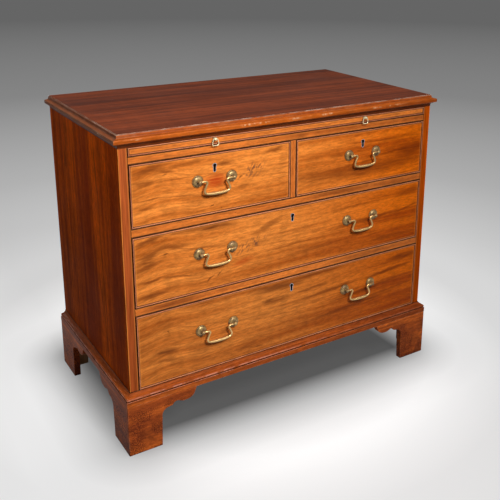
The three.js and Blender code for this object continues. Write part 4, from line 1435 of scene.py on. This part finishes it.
def makeSlide():
    low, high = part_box("brushing_slide")
    middle, half = (low + high) / 2, (high - low) / 2
    bead = slide["bead"]

    def dress(place, colour):
        return drawEdge(place, brighten(colour, slide["tone"]), middle, half, bead)

    bm = bmesh.new()
    rebatedBoard(bm, middle, half, high.y, bead)
    addBead(bm, middle, half, bead, 1)
    materials = [woodMaterial("slide board", "rail", "x", (0.15, 0.3, 0.6), dress=dress), beadAcross]
    newPiece("slide_board", bm, materials, "brushing_slide", ["brushing_slide"], smooth=28)
    wire, drop = slide["wire"], slide["drop"]
    path = [(slide["pinGap"] / 2, 0.0)] + [(u * slide["halfWidth"], v * drop) for u, v in slide["path"]]
    path = mirrored(path)
    for label in ("left", "right"):
        centre = atFront("slide_knob_" + label)
        pivot = centre - Vector((0, slide["stand"], 0))
        bm, tools = bmesh.new(), bmesh.new()
        turn(bm, knobProfile(), centre, (0, -1, 0), 32)
        drill(tools, pivot, wire + slide["boreGap"], past, 20)
        ring = bmesh.new()
        addRod(ring, pivot, path, [wire] * len(path), 5, 3)
        for name, made, body, node, smooth in (
            ("slide_pull_knob_", carve(bm, tools), "brushing_slide", "slide_knob_", 35),
            ("slide_pull_ring_", ring, "ring_" + label, "slide_ring_", 50),
        ):
            newPiece(name + label, made, [pullBrass], body, [node + label], smooth=smooth)


# Inside boards and the back
boards = dict(
    dust=0.012,
    dustSoft=0.0005,
    bottomSoft=0.0006,
    backRows=5,
    backJoint=0.0012,
    backSoft=0.001,
    nail=0.0018,
    nailStand=0.0004,
    nailInset=0.006,
    nailRows=(0.2, 0.8),
)


def makeInside():
    for level in ("upper", "mid", "low"):
        low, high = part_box("dustboard_" + level)
        bm = bmesh.new()
        top = low.z + boards["dust"]
        planks(bm, low, (high.x, high.y, top), 3, 1)
        if level == "mid":
            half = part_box("muntin")[1].x
            bar(bm, (-half, low.y, top + clear), (half, high.y, high.z))
        addBoards(f"dustboard_{level}_boards", bm, pineAcross, "dustboard_" + level, boards["dustSoft"])
    bm = bmesh.new()
    planks(bm, *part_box("bottom_board"), 3, 1)
    addBoards("bottom_boards", bm, pineAcross, "bottom_board", boards["bottomSoft"])
    low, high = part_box("back_panel")
    bm, nails = bmesh.new(), bmesh.new()
    planks(bm, low, high, boards["backRows"], 2, boards["backJoint"])
    addBoards("back_boards", bm, pineBack, "back_panel", boards["backSoft"])
    step = (high.z - low.z) / boards["backRows"]
    radius, stand, inset = boards["nail"], boards["nailStand"], boards["nailInset"]
    spots = [(x, low.z + (i + share) * step) for i in range(boards["backRows"])
             for x in (low.x + inset, high.x - inset) for share in boards["nailRows"]]
    for x, z in spots:
        head = [(0, 0), (radius, 0), (radius, stand), (0, stand)]
        turn(nails, head, (x, high.y - stand, z), (0, -1, 0), 10)
    newPiece("back_nails", nails, [iron], "carcass", smooth=35)


def addBoards(name, bm, material, node, soft):
    newPiece(name, bm, [material], "carcass", [node], soft)


# Floor, world and lamps: the floor is pale near the chest and greys away from it
floorLook = dict(
    centre=(0.05, 0.12),
    spread=12.0,
    painted=[(0.0, 0.30), (0.6, 0.30), (1.1, 0.28), (2.0, 0.25), (4.3, 0.20), (10.6, 0.15)],
    glow=[
        (0.0, 0.61), (0.45, 0.65), (0.62, 0.76), (0.72, 0.65), (0.85, 0.56), (1.0, 0.57), (1.3, 0.50),
        (2.0, 0.385), (4.3, 0.22), (10.6, 0.125),
    ],
    unseen=0.40,
    # A painted shadow: the floor's colour darkens close round the chest
    underfoot=dict(middle=(0.0, 0.035), half=(0.42, 0.235), spread=0.30),
    shade=[(0.0, 0.12), (0.05, 0.40), (0.10, 0.64), (0.15, 0.80), (0.20, 0.93), (0.28, 1.0)],
)


def greyRamp(reach, stops, spread):
    ramp = addNode("ValToRGB", {"Fac": number("DIVIDE", reach, spread, clamp=True)})
    for index, (distance, shade) in enumerate(stops):
        at = distance / spread
        stop = ramp.color_ramp.elements[index] if index < 2 else ramp.color_ramp.elements.new(at)
        stop.position = at
        stop.color = (shade, shade, shade, 1)
    return ramp.outputs[0]


# How far a place lies from a middle on the floor, or from a rectangle round it
def floorReach(place, middle, half=(0.0, 0.0)):
    away = vector("ABSOLUTE", vector("SUBTRACT", place, (*middle, 0)))
    away = vector("MAXIMUM", vector("SUBTRACT", away, (*half, 0)), (0, 0, 0))
    return vector("LENGTH", vector("MULTIPLY", away, (1, 1, 0)))


def makeFloor():
    material, shader, place = startMaterial("pale floor")
    near, spread = floorLook["underfoot"], floorLook["spread"]
    reach = floorReach(place, floorLook["centre"])
    beside = floorReach(place, near["middle"], near["half"])
    shade = greyRamp(beside, floorLook["shade"], near["spread"])
    painted, glow = (
        blend(1.0, greyRamp(reach, floorLook[part], spread), shade, "MULTIPLY")
        for part in ("painted", "glow")
    )
    rays = addNode("LightPath").outputs
    seen = number("MAXIMUM", rays["Is Camera Ray"], rays["Is Glossy Ray"])
    seen = number("MAXIMUM", seen, rays["Is Transmission Ray"])
    unseen = (floorLook["unseen"],) * 3 + (1,)
    connect(shader, {"Base Color": blend(seen, unseen, painted)})
    connect(shader, {"Emission Color": glow, "Emission Strength": seen})
    connect(shader, {"Roughness": 0.9, "Specular IOR Level": 0.0})
    bm = bmesh.new()
    bmesh.ops.create_circle(bm, cap_ends=True, segments=96, radius=40)
    floor = link("floor", meshFrom(bm, "floor"))
    floor.data.materials.append(material)


lamps = dict(
    key=dict(place=(-0.25, -2.05, 2.05), aim=(-0.35, -0.25, 0.60), size=(0.6, 0.6), spread=70, power=9.2),
    sparkle=dict(place=(1.25, -1.80, 1.95), aim=(0.0, -0.25, 0.50), size=(1.1, 0.25), spread=120, power=3.6),
    overhead=dict(place=(0.0, -0.12, 2.6), aim=(0.0, -0.12, 0.0), size=(1.3, 0.6), spread=180, power=12),
    fill=dict(place=(-2.6, 0.3, 1.5), aim=(0.0, 0.0, 0.4), size=(1.0, 1.0), spread=180, power=7),
    behind=dict(place=(0.0, 2.3, 0.62), aim=(0.0, 0.27, 0.52), size=(1.2, 0.4), spread=50, power=2.6),
)
world = dict(strength=0.035, shine=0.10)


def makeLamps():
    for name, lamp in lamps.items():
        data = bpy.data.lights.new(name, "AREA")
        data.shape = "RECTANGLE"
        data.size, data.size_y = lamp["size"]
        data.energy = lamp["power"]
        data.spread = radians(lamp["spread"])
        aim = Vector(lamp["aim"]) - Vector(lamp["place"])
        turned = aim.to_track_quat("-Z", "Y").to_matrix().to_4x4()
        link(name, data).matrix_world = Matrix.Translation(lamp["place"]) @ turned


def makeWorld():
    scene.world = bpy.data.worlds.new("studio")
    scene.world.use_nodes = True
    current["tree"] = scene.world.node_tree
    rays = addNode("LightPath").outputs
    shine = number("MAXIMUM", rays["Is Glossy Ray"], rays["Is Transmission Ray"])
    lit = number("MULTIPLY_ADD", shine, world["shine"], world["strength"])
    connect(scene.world.node_tree.nodes["Background"].inputs, {"Color": white, "Strength": lit})


steel = metalMaterial("lock steel", "steel")
liner = metalMaterial("blued liner", "liner")
# Near-black inner wall of the keyhole liners, painted shade
shadedHollow = metalMaterial("liner wall", "shadowBlack")
iron = metalMaterial("screw iron", "iron")
brass = metalMaterial("bail brass", "brass")
rosetteBrass = metalMaterial("rosette brass", "rosette")
dullBrass = metalMaterial("nut brass", "rosette")
pullBrass = metalMaterial("slide pull brass", "pull")
beadAcross = woodMaterial("cockbead across", "bead", "x")
beadUpright = woodMaterial("cockbead upright", "bead", "z")
oakDeep = woodMaterial("oak sides", "oak", "y", (0.3, 0.1, 0.2))
oakAcross = woodMaterial("oak backs", "oak", "x", (0.5, 0.7, 0.2))
oakWide = woodMaterial("oak bottoms", "oak", "x", (0.9, 0.2, 0.8))
pineAcross = woodMaterial("pine boards", "pine", "x", (0.2, 0.5, 0.9))
pineBack = woodMaterial("pine back", "pine", "x", (0.8, 0.3, 0.1))
pineUpright = woodMaterial("pine blocks", "pine", "z", (0.1, 0.4, 0.7))
print("materials ready")

makeTop()
makeBaseMoulding()
for name, side, isFront in (
    ("front_left", -1, True),
    ("front_right", 1, True),
    ("back_left", -1, False),
    ("back_right", 1, False),
):
    makeFoot(name, side, isFront)
for label, shift in (("left", (0.2, 0.1, 0.3)), ("right", (0.6, 0.4, 0.1))):
    material = woodMaterial(f"{label} side", "side", "z", shift, dress=sideDress)
    dressNode("side_panel_" + label, material, 0.0009)
for name, shift in (("rail_under_slide", 0.1), ("rail_mid", 0.4), ("rail_low", 0.8)):
    material = woodMaterial(name.replace("_", " "), "rail", "x", (shift,) * 3, dress=railDress(name, "Z"))
    dressNode(name, material)
muntinWood = woodMaterial("muntin", "rail", "z", (0.7, 0.2, 0.5), dress=railDress("muntin", "X"))
dressNode("muntin", muntinWood)
makeInside()
print("carcass ready")

makeSlide()
for name, plan in drawers.items():
    makeDrawerFront(name, plan)
    makeDrawerBox(name, plan)
    makeLock(name, plan)
    dressNode(f"lock_{name}_bolt", steel, lock["soft"])
    for pull in plan["pulls"]:
        makeHandle(pull, "drawer_" + name)
print("drawers and slide ready")

makeFloor()
makeLamps()
makeWorld()
